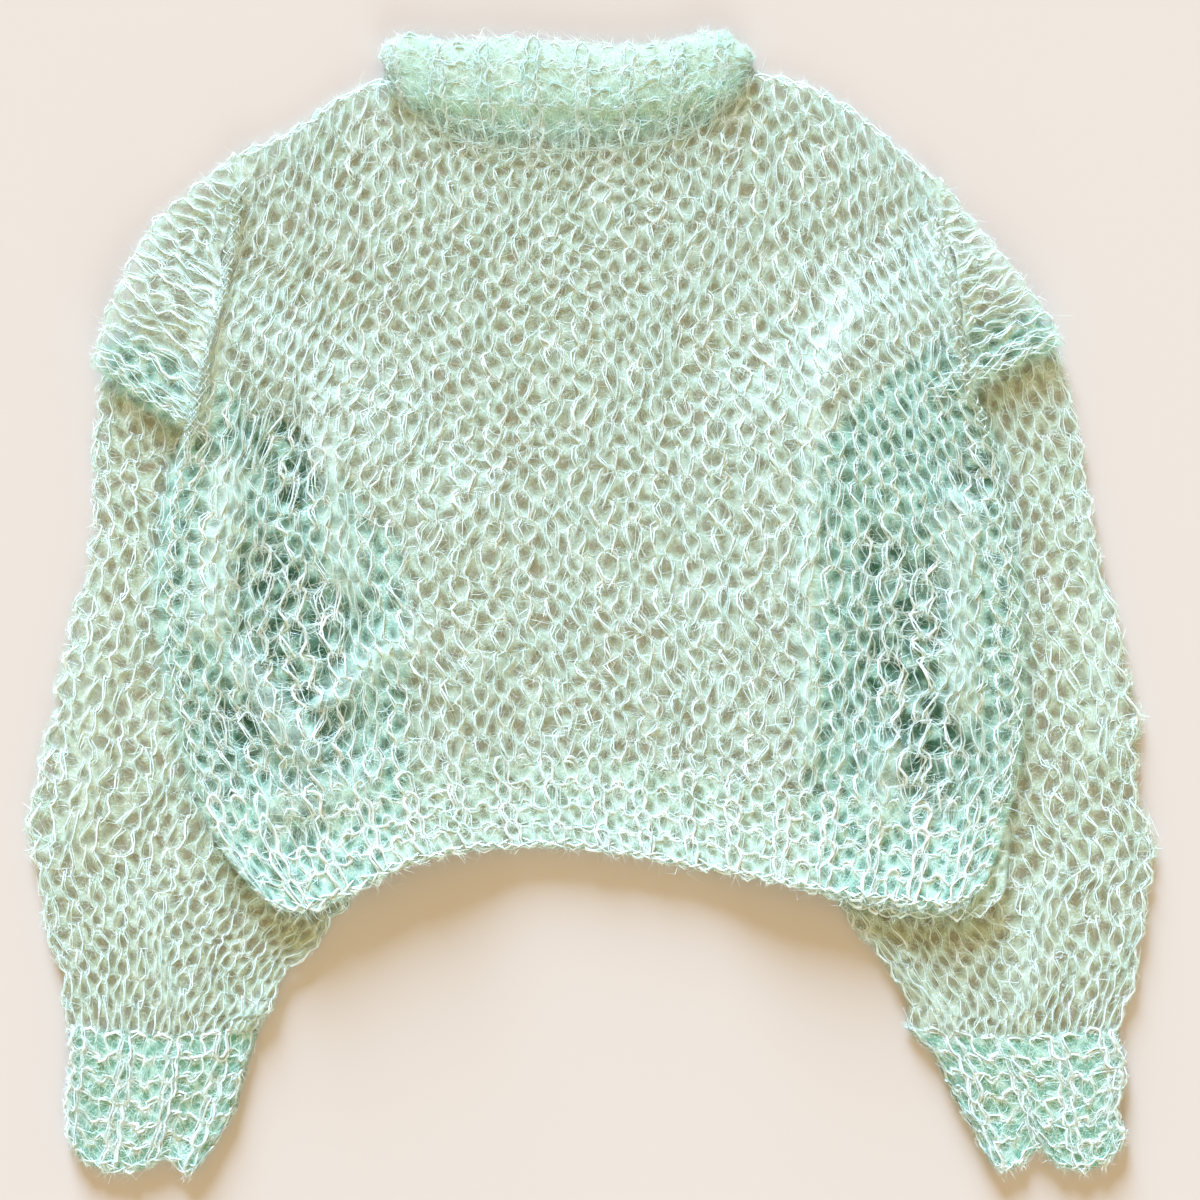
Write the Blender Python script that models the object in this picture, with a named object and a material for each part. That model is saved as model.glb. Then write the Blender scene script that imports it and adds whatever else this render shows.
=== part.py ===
"""Cropped mohair pullover laid flat, its balloon sleeves folded down and partly under the body.

The tables give the outline of the garment as it lies, seen from above, in millimetres: across runs
to the right and up runs towards the neck. Heights are above the surface that the garment lies on.
Each knitted piece is a wall of its own, a little apart from its neighbours at the seams.
"""

import math

import bmesh
import bpy
import numpy as np

MILLIMETRE = 0.001

# Knitted layers, in millimetres
WALL = 3.0
PANEL_GAP = 0.8
SEAM_GAP = 0.3
SLEEVE_HOLLOW = 1.0
SLEEVE_THICKNESS = 2 * WALL + SLEEVE_HOLLOW
SLEEVE_CLEARANCE = 0.6
BAND_WALL = 5.5
BAND_HOLLOW = 1.0
BAND_OVERLAP = 12.0
BAND_EDGE_THINNING = 0.3
BAND_EDGE_POWER = 6
RIB_HEIGHT = 1.2
CUFF_PUFF = 1.0

# Rounded outer edge of the panels, in millimetres and as a share of the panel
RIM_ROUNDING = 0.9
RIM_SHARE = 0.012

# How the body drapes over the sleeves under it, in millimetres outside the sleeve's outline
DRAPE_LEVEL = 26.0
DRAPE_LENGTH = 26.0
DRAPE_LEAST = 0.15

# Grid of the front and the back, with the rim columns and row beyond these
PANEL_COLUMNS = 28
PANEL_ROWS = 20
NECK_COLUMNS = (7, 19)
LEFT_NOTCH_ROW = 15
RIGHT_NOTCH_ROW = 16

# Ribs and grids of the bands
HEM_RIBS = 17
HEM_ROWS = 3
BAND_RIBS = 8
BAND_UNDER_COLUMNS = 10
BAND_ROWS = 6
CUFF_RIBS = 4
CUFF_UNDER_COLUMNS = 6
CUFF_ROWS = 6
COLUMNS_IN_A_RIB = 4

# Grids and gathers of the sleeves
SLEEVE_TOP_COLUMNS = 13
SLEEVE_UNDER_COLUMNS = 6
SLEEVE_ROWS = 16
FOLD_STEPS = 4
GATHERS = 4
GATHER_HEIGHT = 1.6
GATHER_REACH = 0.22

# Necklines, as a dip under the straight line between the neck's corners, in millimetres
NECK_LEFT = (-136, 334)
NECK_RIGHT = (100, 338)
FRONT_NECK_DIP = 44.0
BACK_NECK_DIP = 14.0
NECK_DIP_POWER = 3.2
NECK_DIP_FADE = 4

# The back hem shows past the front one at its right corner, in millimetres
BACK_HEM_ACROSS = 12.0
BACK_HEM_DOWN = 7.0
BACK_HEM_ACROSS_FROM = 0.85
BACK_HEM_DOWN_FROM = 0.72
BACK_HEM_FADE = 0.14

# Outlines. Columns: across, up
HEM_SEAM = (
    (-252, -125), (-191, -119), (-127, -108), (-63, -100), (-24, -99), (14, -101),
    (65, -109), (129, -120), (193, -127), (261, -125),
)
HEM_EDGE = (
    (-219, -180), (-205, -189), (-190, -191), (-162, -182), (-127, -165), (-95, -156),
    (-63, -152), (-24, -152), (14, -156), (65, -165), (104, -172), (148, -180),
    (174, -185), (206, -188), (233, -186), (245, -177),
)
HEM_LEFT = ((-219, -180), (-232, -164), (-244, -143), (-252, -125))
HEM_RIGHT = ((245, -177), (252, -157), (261, -125))
SIDE_LEFT = (
    (-252, -125), (-258, -106), (-269, -61), (-275, -23), (-278, 15), (-275, 54),
    (-269, 89), (-261, 111),
)
SIDE_RIGHT = (
    (261, -125), (267, -93), (270, -61), (269, -23), (267, 9), (262, 41), (257, 73),
    (250, 105), (237, 140),
)
ARMHOLE_LEFT = ((-261, 111), (-277, 121), (-300, 136), (-320, 153))
ARMHOLE_RIGHT = ((237, 140), (257, 155), (277, 163), (293, 166))
SHOULDER_LEFT = (
    (-320, 153), (-314, 175), (-301, 207), (-284, 239), (-250, 271), (-229, 287),
    (-194, 303), (-173, 318), (-150, 330), NECK_LEFT,
)
SHOULDER_RIGHT = (
    NECK_RIGHT, (125, 333), (158, 318), (177, 303), (197, 287), (216, 271), (242, 239),
    (267, 207), (288, 177), (293, 166),
)
BAND_EDGE = (
    (-140, 351), (-130, 361), (-118, 363), (-101, 359), (-63, 360), (-24, 358), (14, 356),
    (46, 358), (66, 364), (80, 365), (91, 358), (101, 350),
)

# Sleeves and cuffs, each edge from the armhole to the cuff. Columns: across, up
SLEEVES = {
    "left": {
        "outer": (
            (-307, 172), (-321, 140), (-323, 79), (-331, 15), (-343, -49), (-358, -113),
            (-362, -145), (-356, -180), (-349, -215), (-340, -272),
        ),
        "inner": (
            (-129, 38), (-126, -10), (-125, -87), (-128, -125), (-136, -157), (-146, -177),
            (-170, -209), (-190, -225), (-205, -250), (-217, -272),
        ),
        "armhole": ((-307, 172), (-232, 131), (-129, 38)),
        "cuff_seam": ((-340, -272), (-278, -277), (-217, -272)),
        "cuff_outer": ((-340, -272), (-338, -289), (-341, -312), (-340, -337)),
        "cuff_inner": ((-217, -272), (-223, -289), (-233, -321), (-246, -345)),
        "cuff_end": (
            (-340, -337), (-331, -351), (-312, -359), (-290, -358), (-275, -351),
            (-262, -361), (-246, -345),
        ),
    },
    "right": {
        "outer": (
            (284, 187), (294, 160), (302, 127), (314, 79), (331, 15), (344, -49), (349, -113),
            (356, -145), (351, -177), (345, -209), (341, -241), (334, -272),
        ),
        "inner": (
            (133, 92), (134, 28), (133, -49), (134, -87), (137, -125), (143, -157),
            (151, -181), (160, -209), (173, -225), (186, -245), (199, -272),
        ),
        "armhole": ((284, 187), (222, 166), (133, 92)),
        "cuff_seam": ((334, -272), (270, -278), (199, -272)),
        "cuff_outer": ((334, -272), (336, -305), (334, -321), (338, -337)),
        "cuff_inner": ((199, -272), (214, -289), (222, -305), (233, -321), (243, -341)),
        "cuff_end": (
            (338, -337), (325, -353), (308, -359), (292, -355), (281, -346), (270, -355),
            (257, -359), (243, -341),
        ),
    },
}

# Where ridges end: shares of a piece's width at its sides, and millimetres clear of the body
FRONT_FADE_SHARE = 0.07
SLEEVE_FADE_SHARE = 0.12
BODY_CLEARANCE = 20.0
BODY_FADE = 15.0

# Soft ridges of the front. Columns: start across, start up, end across, end up, height, width
FRONT_FOLDS = (
    (-239, 201, -258, 120, 2.6, 15),
    (-236, 84, -248, -10, 2.8, 17),
    (-176, 96, -158, 18, 2.4, 16),
    (-225, -40, -186, -92, 2.8, 16),
    (-176, -58, -118, -22, 2.2, 14),
    (-205, -128, -150, -112, 2.0, 15),
    (160, 192, 134, 128, 2.2, 15),
    (150, 60, 152, -70, 2.4, 16),
    (228, 60, 232, -60, 2.6, 17),
    (190, -92, 178, -130, 2.2, 15),
)

# Ridges of the free parts of the sleeves, with the same columns
SLEEVE_FOLDS = (
    (-176, -215, -226, -268, 2.0, 13),
    (-322, -40, -333, -150, 1.8, 18),
    (-290, -190, -270, -262, 1.8, 15),
    (152, -196, 226, -270, 2.0, 13),
    (318, 60, 326, -90, 1.8, 17),
    (286, -180, 268, -262, 1.8, 15),
)

# Valleys pressed into the cuffs where the rib rolls over. Columns as above
CUFF_VALLEYS = (
    (-230, -277, -264, -342, 1.6, 6),
    (252, -318, 276, -352, 1.6, 7),
)

# Colour, roughness and metallic value of each kind of knit
STOCKING_KNIT = ((0.58, 0.78, 0.68, 1.0), 0.95, 0.0)
RIB_KNIT = ((0.54, 0.76, 0.66, 1.0), 0.95, 0.0)


def clear_scene():
    for thing in list(bpy.data.objects):
        bpy.data.objects.remove(thing)


def knit_material(name, finish):
    colour, roughness, metallic = finish
    material = bpy.data.materials.new(name)
    material.use_nodes = True
    shader = material.node_tree.nodes["Principled BSDF"]
    shader.inputs["Base Color"].default_value = colour
    shader.inputs["Roughness"].default_value = roughness
    shader.inputs["Metallic"].default_value = metallic
    return material


def smooth_step(value):
    held = min(max(value, 0.0), 1.0)
    return held * held * (3.0 - 2.0 * held)


def curve(points):
    """A smooth curve through the points, as a function of the share of its length."""
    points = np.array(points, float)
    steps = np.linalg.norm(np.diff(points, axis=0), axis=1)
    ends = np.concatenate([[0.0], np.cumsum(steps)]) / steps.sum()
    slopes = np.gradient(points, ends, axis=0)

    def at(share):
        last = len(ends) - 2
        index = min(max(int(np.searchsorted(ends, share, side="right")) - 1, 0), last)
        span = ends[index + 1] - ends[index]
        s = (share - ends[index]) / span
        start = points[index] * (2 * s**3 - 3 * s**2 + 1) + slopes[index] * span * (s**3 - 2 * s**2 + s)
        end = points[index + 1] * (3 * s**2 - 2 * s**3) + slopes[index + 1] * span * (s**3 - s**2)
        return start + end

    return at


def chain(first, second, share):
    """Two curves joined at a corner, which stands at this share of the whole."""
    return lambda t: first(t / share) if t < share else second((t - share) / (1.0 - share))


def patch(bottom, top, left, right):
    """Point of a panel at the shares a across and b up, worked out from its four edges."""

    def at(a, b):
        between_sides = (1 - a) * left(b) + a * right(b)
        between_ends = (1 - b) * bottom(a) + b * top(a)
        corners = (1 - b) * ((1 - a) * bottom(0.0) + a * bottom(1.0))
        corners = corners + b * ((1 - a) * top(0.0) + a * top(1.0))
        return between_sides + between_ends - corners

    return at


def neckline(dip):
    corner = np.array(NECK_LEFT, float)
    across = np.array(NECK_RIGHT, float) - corner

    def at(share):
        depth = dip * (1.0 - abs(2.0 * share - 1.0) ** NECK_DIP_POWER)
        return corner + share * across - np.array((0.0, depth))

    return at


def closed_outline(edges, samples=40):
    """Points round an outline, from edges that run on from each other."""
    shares = np.arange(samples) / samples
    return np.array([edge(share) for edge in edges for share in shares])


def distance_outside(outline, point):
    """How far a point lies outside a closed outline, and 0 within it."""
    x, y = point
    starts = outline
    ends = np.roll(outline, -1, axis=0)
    runs = ends - starts
    crossing = (starts[:, 1] > y) != (ends[:, 1] > y)
    rise = np.where(runs[:, 1] == 0.0, 1.0, runs[:, 1])
    meets = starts[:, 0] + (y - starts[:, 1]) / rise * runs[:, 0]
    if np.count_nonzero(crossing & (x < meets)) % 2:
        return 0.0
    along = ((x - starts[:, 0]) * runs[:, 0] + (y - starts[:, 1]) * runs[:, 1]) / (runs**2).sum(axis=1)
    nearest = starts + np.clip(along, 0.0, 1.0)[:, None] * runs
    return float(np.hypot(x - nearest[:, 0], y - nearest[:, 1]).min())


def reverse(edge):
    return lambda share: edge(1.0 - share)


def sleeve_outline(tables):
    outer, cuff_seam = curve(tables["outer"]), curve(tables["cuff_seam"])
    inner, armhole = curve(tables["inner"]), curve(tables["armhole"])
    return closed_outline((outer, cuff_seam, reverse(inner), reverse(armhole)))


SLEEVE_OUTLINES = [sleeve_outline(tables) for tables in SLEEVES.values()]


def drape(point):
    """Height of what the back panel lies on: the bare surface, or a sleeve under it."""
    distance = min(distance_outside(outline, point) for outline in SLEEVE_OUTLINES)
    level = SLEEVE_THICKNESS + SLEEVE_CLEARANCE
    height = level * (1.0 - smooth_step((distance - DRAPE_LEVEL) / DRAPE_LENGTH))
    return height if height > DRAPE_LEAST else 0.0


def ridges(folds, point):
    """Height that the soft ridges in a table add at a point."""
    x, y = point
    total = 0.0
    for start_x, start_y, end_x, end_y, height, width in folds:
        run_x = end_x - start_x
        run_y = end_y - start_y
        along = ((x - start_x) * run_x + (y - start_y) * run_y) / (run_x**2 + run_y**2)
        along = min(max(along, 0.0), 1.0)
        away = math.hypot(x - start_x - along * run_x, y - start_y - along * run_y)
        total = max(total, height * math.exp(-((away / width) ** 2)))
    return total


def rib(share, ribs):
    """Height of a raised rib across a band, 0 in the troughs."""
    return RIB_HEIGHT * (0.5 - 0.5 * math.cos(2.0 * math.pi * ribs * share))


def finish_solid(shape, name, material, parent):
    bmesh.ops.recalc_face_normals(shape, faces=shape.faces[:])
    mesh = bpy.data.meshes.new(name)
    shape.to_mesh(mesh)
    shape.free()
    mesh.materials.append(material)
    mesh.shade_smooth()
    mesh.set_sharp_from_angle(angle=math.radians(50.0))
    solid = bpy.data.objects.new(name, mesh)
    solid.parent = parent
    bpy.context.collection.objects.link(solid)
    return solid


def knit_wall(name, columns, rows, top_point, under_point, material, parent):
    """A wall between two surfaces that share one grid of columns and rows."""
    shape = bmesh.new()
    bmesh.ops.create_grid(shape, x_segments=columns, y_segments=rows, size=0.5)
    bmesh.ops.triangulate(shape, faces=shape.faces[:], quad_method="FIXED")
    top = shape.verts[:]
    grown = bmesh.ops.extrude_face_region(shape, geom=shape.faces[:])
    under = [part for part in grown["geom"] if isinstance(part, bmesh.types.BMVert)]
    for corners, place in ((top, top_point), (under, under_point)):
        for corner in corners:
            column = round((corner.co.x + 0.5) * columns)
            row = round((corner.co.y + 0.5) * rows)
            corner.co = [size * MILLIMETRE for size in place(column, row)]
    return finish_solid(shape, name, material, parent)


def knit_tube(name, stations, rows, outer_point, inner_point, material, parent):
    """An open tube whose rings stop at the given stations, with a wall between two surfaces."""
    shape = bmesh.new()
    line = [shape.verts.new((1.0, 0.0, row / rows)) for row in range(rows + 1)]
    for low, high in zip(line, line[1:]):
        shape.edges.new((low, high))
    bmesh.ops.spin(
        shape, geom=shape.verts[:] + shape.edges[:], cent=(0, 0, 0), axis=(0, 0, 1),
        angle=2.0 * math.pi, steps=len(stations), use_merge=True,
    )
    outer = shape.verts[:]
    grown = bmesh.ops.extrude_face_region(shape, geom=shape.faces[:])
    inner = [part for part in grown["geom"] if isinstance(part, bmesh.types.BMVert)]
    for corners, place in ((outer, outer_point), (inner, inner_point)):
        for corner in corners:
            turn = math.atan2(corner.co.y, corner.co.x) / (2.0 * math.pi)
            station = stations[round(turn * len(stations)) % len(stations)]
            row = round(corner.co.z * rows)
            corner.co = [size * MILLIMETRE for size in place(station, row / rows)]
    return finish_solid(shape, name, material, parent)


def flat_ring_stations(top_columns, under_columns):
    """Stops round a flattened tube, as the share across and the angle about the fold there."""
    quarter = math.pi / 2.0
    stations = [(column / top_columns, quarter) for column in range(top_columns + 1)]
    for step in range(1, FOLD_STEPS):
        stations.append((1.0, quarter - math.pi * step / FOLD_STEPS))
    stations += [(1.0 - column / under_columns, -quarter) for column in range(under_columns + 1)]
    for step in range(1, FOLD_STEPS):
        stations.append((0.0, -quarter - math.pi * step / FOLD_STEPS))
    return stations


def on_top(angle):
    return math.sin(angle) > 0.99


def underneath(angle):
    return math.sin(angle) < -0.99


def flat_ring_point(plan, share, angle, row, reach, offset):
    """Place seen from above of a stop on a flattened tube whose folds reach this far out."""
    left = plan(0.0, row)
    right = plan(1.0, row)
    direction = (right - left) / np.linalg.norm(right - left)
    return plan(share, row) + direction * (reach * (1.0 - 2.0 * share) + offset * math.cos(angle))


HEM_SEAM_CURVE = curve(HEM_SEAM)
HEM_EDGE_CURVE = curve(HEM_EDGE)


def panel_plan():
    """The back seen from above, from the hem's seam to the shoulders and the neck."""
    inner_share = 1.0 - 2.0 * RIM_SHARE
    neck_start = RIM_SHARE + inner_share * NECK_COLUMNS[0] / PANEL_COLUMNS
    neck_end = RIM_SHARE + inner_share * NECK_COLUMNS[1] / PANEL_COLUMNS
    neck_share = (neck_end - neck_start) / (1.0 - neck_start)
    neck_and_right = chain(neckline(BACK_NECK_DIP), curve(SHOULDER_RIGHT), neck_share)
    top = chain(curve(SHOULDER_LEFT), neck_and_right, neck_start)
    rows_share = 1.0 - RIM_SHARE
    left = chain(curve(SIDE_LEFT), curve(ARMHOLE_LEFT), rows_share * LEFT_NOTCH_ROW / PANEL_ROWS)
    right = chain(curve(SIDE_RIGHT), curve(ARMHOLE_RIGHT), rows_share * RIGHT_NOTCH_ROW / PANEL_ROWS)
    return patch(HEM_SEAM_CURVE, top, left, right)


def panel_shares(column, row):
    """Shares across and up at a column and row, with a narrow rim round the sides and shoulders."""
    columns = PANEL_COLUMNS + 2
    if column in (0, columns):
        across = column / columns
    else:
        across = RIM_SHARE + (1.0 - 2.0 * RIM_SHARE) * (column - 1) / PANEL_COLUMNS
    up = 1.0 if row > PANEL_ROWS else (1.0 - RIM_SHARE) * row / PANEL_ROWS
    return across, up


def on_rim(column, row):
    """Whether a stop is on an outer edge, which is rounded, and not on the neckline."""
    columns = PANEL_COLUMNS + 2
    at_neck = NECK_COLUMNS[0] + 1 <= column <= NECK_COLUMNS[1] + 1
    return column in (0, columns) or (row > PANEL_ROWS and not at_neck)


def edge_fade(across):
    """1 inside a panel and 0 at its sides, so that ridges end before the edge."""
    return smooth_step(min(across, 1.0 - across) / FRONT_FADE_SHARE)


def make_panels(material, parent):
    columns = PANEL_COLUMNS + 2
    rows = PANEL_ROWS + 1
    plan = panel_plan()

    def back_place(column, row):
        x, y = plan(*panel_shares(column, row))
        return x, y + (SEAM_GAP if row == 0 else 0.0)

    def front_place(column, row):
        """The back's place, drawn down towards the lower front neckline near the top."""
        x, y = back_place(column, row)
        along_neck = (column - 1 - NECK_COLUMNS[0]) / (NECK_COLUMNS[1] - NECK_COLUMNS[0])
        if 0.0 < along_neck < 1.0:
            up = panel_shares(column, row)[1]
            deeper = neckline(BACK_NECK_DIP)(along_neck)[1] - neckline(FRONT_NECK_DIP)(along_neck)[1]
            y -= deeper * up**NECK_DIP_FADE
        return x, y

    def back_under(column, row):
        x, y = back_place(column, row)
        return x, y, drape((x, y)) + (RIM_ROUNDING if on_rim(column, row) else 0.0)

    def back_top(column, row):
        x, y = back_place(column, row)
        return x, y, drape((x, y)) + WALL

    def front_under(column, row):
        x, y = front_place(column, row)
        above = SEAM_GAP if on_rim(column, row) else PANEL_GAP
        lift = ridges(FRONT_FOLDS, (x, y)) * edge_fade(panel_shares(column, row)[0])
        return x, y, drape((x, y)) + WALL + above + lift

    def front_top(column, row):
        x, y, height = front_under(column, row)
        return x, y, height + WALL - (RIM_ROUNDING if on_rim(column, row) else 0.0)

    knit_wall("back", columns, rows, back_top, back_under, material, parent)
    knit_wall("front", columns, rows, front_top, front_under, material, parent)


def make_hem(material, parent):
    columns = HEM_RIBS * COLUMNS_IN_A_RIB
    plan = patch(HEM_EDGE_CURVE, HEM_SEAM_CURVE, curve(HEM_LEFT), curve(HEM_RIGHT))

    def front_place(column, row):
        across = column / columns
        x, y = plan(across, row / HEM_ROWS)
        return across, x, y

    def back_place(column, row):
        across, x, y = front_place(column, row)
        below_seam = 1.0 - row / HEM_ROWS
        x += BACK_HEM_ACROSS * below_seam * smooth_step((across - BACK_HEM_ACROSS_FROM) / BACK_HEM_FADE)
        y -= BACK_HEM_DOWN * below_seam * smooth_step((across - BACK_HEM_DOWN_FROM) / BACK_HEM_FADE)
        return x, y

    def rounding(column, row):
        return RIM_ROUNDING if column in (0, columns) or row == 0 else 0.0

    def front_under(column, row):
        across, x, y = front_place(column, row)
        above = SEAM_GAP if rounding(column, row) else PANEL_GAP
        lift = ridges(FRONT_FOLDS, (x, y)) * edge_fade(across)
        return x, y, drape((x, y)) + WALL + above + lift

    def front_top(column, row):
        x, y, height = front_under(column, row)
        return x, y, height + WALL + rib(column / columns, HEM_RIBS) - rounding(column, row)

    def back_under(column, row):
        x, y = back_place(column, row)
        return x, y, drape((x, y)) + rounding(column, row)

    def back_top(column, row):
        x, y = back_place(column, row)
        return x, y, drape((x, y)) + WALL

    knit_wall("hem_back", columns, HEM_ROWS, back_top, back_under, material, parent)
    knit_wall("hem_front", columns, HEM_ROWS, front_top, front_under, material, parent)


def make_neckband(material, parent):
    """A ring folded flat: the back wall on the surface, the front wall over it and down to the front."""
    band_edge = curve(BAND_EDGE)
    front_neck = neckline(FRONT_NECK_DIP)
    back_neck = neckline(BACK_NECK_DIP)
    above_seam = np.array((0.0, SEAM_GAP))
    level = BAND_WALL + BAND_HOLLOW
    reach = (level + BAND_WALL) / 2.0

    def wall_plan(neck):
        return lambda across, up: (1.0 - up) * (neck(across) + above_seam) + up * band_edge(across)

    plans = {True: wall_plan(front_neck), False: wall_plan(back_neck)}

    def thickness(up):
        return BAND_WALL * (1.0 - BAND_EDGE_THINNING * abs(2.0 * up - 1.0) ** BAND_EDGE_POWER)

    def front_under(across, y):
        past_back_neck = (y - back_neck(across)[1] + BAND_OVERLAP) / BAND_OVERLAP
        lowest = WALL + PANEL_GAP
        return lowest + (level - lowest) * smooth_step(past_back_neck)

    def place(station, up, outside):
        across, angle = station
        plan = plans[on_top(angle)]
        offset = reach if outside else BAND_HOLLOW / 2.0
        x, y = flat_ring_point(plan, across, angle, up, reach, offset)
        if on_top(angle):
            height = front_under(across, y)
            if outside:
                height += thickness(up) + rib(across, BAND_RIBS)
        elif underneath(angle):
            height = 0.0 if outside else thickness(up)
        else:
            height = reach + offset * math.sin(angle)
        return x, y, height

    stations = flat_ring_stations(BAND_RIBS * COLUMNS_IN_A_RIB, BAND_UNDER_COLUMNS)
    knit_tube(
        "neckband", stations, BAND_ROWS,
        lambda station, up: place(station, up, True),
        lambda station, up: place(station, up, False), material, parent,
    )


BODY_OUTLINE = closed_outline(
    (
        curve(SIDE_LEFT), curve(ARMHOLE_LEFT), curve(SHOULDER_LEFT), curve(SHOULDER_RIGHT),
        reverse(curve(ARMHOLE_RIGHT)), reverse(curve(SIDE_RIGHT)), reverse(curve(HEM_RIGHT)),
        reverse(HEM_EDGE_CURVE), curve(HEM_LEFT),
    )
)


def clear_of_body(point):
    """0 under the body and near its edge, 1 out on the free part of a sleeve."""
    return smooth_step((distance_outside(BODY_OUTLINE, point) - BODY_CLEARANCE) / BODY_FADE)


def make_sleeve(side, tables, material, parent):
    plan = patch(
        curve(tables["armhole"]), curve(tables["cuff_seam"]), curve(tables["outer"]),
        curve(tables["inner"]),
    )
    reach = SLEEVE_THICKNESS / 2.0

    def lift(across, along, point):
        from_cuff = smooth_step((along - 1.0 + GATHER_REACH) / GATHER_REACH)
        gathers = GATHER_HEIGHT * from_cuff * (0.5 - 0.5 * math.cos(2.0 * math.pi * GATHERS * across))
        inside = smooth_step(min(across, 1.0 - across) / SLEEVE_FADE_SHARE)
        return max(ridges(SLEEVE_FOLDS, point), gathers) * inside * clear_of_body(point)

    def place(station, along, offset):
        across, angle = station
        x, y = flat_ring_point(plan, across, angle, along, reach, offset)
        height = reach + offset * math.sin(angle)
        if on_top(angle):
            height += lift(across, along, (x, y))
        return x, y + (SEAM_GAP if along == 1.0 else 0.0), height

    stations = flat_ring_stations(SLEEVE_TOP_COLUMNS, SLEEVE_UNDER_COLUMNS)
    knit_tube(
        "sleeve_" + side, stations, SLEEVE_ROWS,
        lambda station, along: place(station, along, reach),
        lambda station, along: place(station, along, SLEEVE_HOLLOW / 2.0), material, parent,
    )


def make_cuff(side, tables, material, parent):
    plan = patch(
        curve(tables["cuff_seam"]), curve(tables["cuff_end"]), curve(tables["cuff_outer"]),
        curve(tables["cuff_inner"]),
    )
    reach = SLEEVE_THICKNESS / 2.0

    def place(station, along, offset, outside):
        across, angle = station
        x, y = flat_ring_point(plan, across, angle, along, reach, offset)
        height = reach + offset * math.sin(angle)
        if outside and on_top(angle):
            height += rib(across, CUFF_RIBS) + CUFF_PUFF - ridges(CUFF_VALLEYS, (x, y))
        return x, y, height

    stations = flat_ring_stations(CUFF_RIBS * COLUMNS_IN_A_RIB, CUFF_UNDER_COLUMNS)
    knit_tube(
        "cuff_" + side, stations, CUFF_ROWS,
        lambda station, along: place(station, along, reach, True),
        lambda station, along: place(station, along, SLEEVE_HOLLOW / 2.0, False), material, parent,
    )


def centre_on_origin(solids):
    """Moves the meshes so that the origin is under the middle of the whole garment."""
    corners = np.array([corner.co[:] for solid in solids for corner in solid.data.vertices])
    middle = (corners.min(axis=0) + corners.max(axis=0)) / 2.0
    for solid in solids:
        for corner in solid.data.vertices:
            corner.co.x -= middle[0]
            corner.co.y -= middle[1]


def main():
    clear_scene()
    garment = bpy.data.objects.new("mohair_sweater", None)
    bpy.context.collection.objects.link(garment)
    stocking = knit_material("mint_stocking_knit", STOCKING_KNIT)
    ribbed = knit_material("mint_rib_knit", RIB_KNIT)
    make_panels(stocking, garment)
    make_hem(ribbed, garment)
    make_neckband(ribbed, garment)
    for side, tables in SLEEVES.items():
        make_sleeve(side, tables, stocking, garment)
        make_cuff(side, tables, ribbed, garment)
    centre_on_origin([thing for thing in bpy.data.objects if thing.type == "MESH"])


main()
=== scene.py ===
"""Looks of the mohair pullover that lies flat with its sleeves folded down beside and under it.

Every knitted piece is made three times over on the same map of wales and courses: a thin haze of
fluff that stands for the solid, the yarn itself as loops, and loose hairs. Tables are in millimetres
as seen from above, across to the right and up towards the neck, like those of the solids.
"""

import math

import bmesh
import bpy
import numpy as np
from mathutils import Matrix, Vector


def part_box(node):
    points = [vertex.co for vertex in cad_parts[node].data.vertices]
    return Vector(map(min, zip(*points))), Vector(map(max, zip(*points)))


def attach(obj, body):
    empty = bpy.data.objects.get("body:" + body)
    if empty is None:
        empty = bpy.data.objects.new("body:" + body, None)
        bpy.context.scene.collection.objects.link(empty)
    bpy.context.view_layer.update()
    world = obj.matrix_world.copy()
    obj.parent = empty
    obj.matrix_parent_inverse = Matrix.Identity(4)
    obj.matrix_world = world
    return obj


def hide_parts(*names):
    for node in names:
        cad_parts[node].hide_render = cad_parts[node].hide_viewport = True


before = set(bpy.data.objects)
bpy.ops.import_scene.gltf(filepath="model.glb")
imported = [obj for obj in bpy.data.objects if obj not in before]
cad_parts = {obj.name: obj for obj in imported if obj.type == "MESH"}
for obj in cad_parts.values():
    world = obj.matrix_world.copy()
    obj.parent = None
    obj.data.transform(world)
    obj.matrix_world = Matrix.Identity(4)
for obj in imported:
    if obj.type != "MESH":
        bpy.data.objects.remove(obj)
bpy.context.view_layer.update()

bl_info = {
    "name": "Mohair Pullover",
    "version": (1, 0, 0),
    "blender": (4, 5, 0),
    "location": "3D View > Sidebar > Pullover",
    "description": "Yarn, haze and loose hairs of an open mohair pullover, on its solids",
    "category": "Object",
}

MILLIMETRE = 0.001
FULL_TURN = 2.0 * math.pi

# Heights of the knitted layers, in millimetres, as the solids have them
WALL = 3.0
PANEL_GAP = 0.8
SEAM_GAP = 0.3
SLEEVE_THICKNESS = 7.0
SLEEVE_CLEARANCE = 0.6
SLEEVE_LAYER = 2.0
CUFF_LIFT = 1.0
BAND_WALL = 5.5
BAND_HOLLOW = 1.0
BAND_OVERLAP = 12.0
BAND_BELOW = 4.0
BAND_THINNING = 0.35
BAND_RISE = 0.8
DRAPE_LEVEL = 26.0
DRAPE_LENGTH = 60.0

# Necklines
NECK_LEFT = (-136, 334)
NECK_RIGHT = (100, 338)
NECK_WIDTH = NECK_RIGHT[0] - NECK_LEFT[0]
FRONT_NECK_DIP = 44.0
BACK_NECK_DIP = 14.0
NECK_DIP_POWER = 3.2
NECK_DIP_FADE = 4

# The back hem shows past the front one at its right corner
BACK_HEM_ACROSS = 12.0
BACK_HEM_DOWN = 7.0
BACK_HEM_ACROSS_FROM = 0.85
BACK_HEM_DOWN_FROM = 0.72
BACK_HEM_FADE = 0.14

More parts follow.
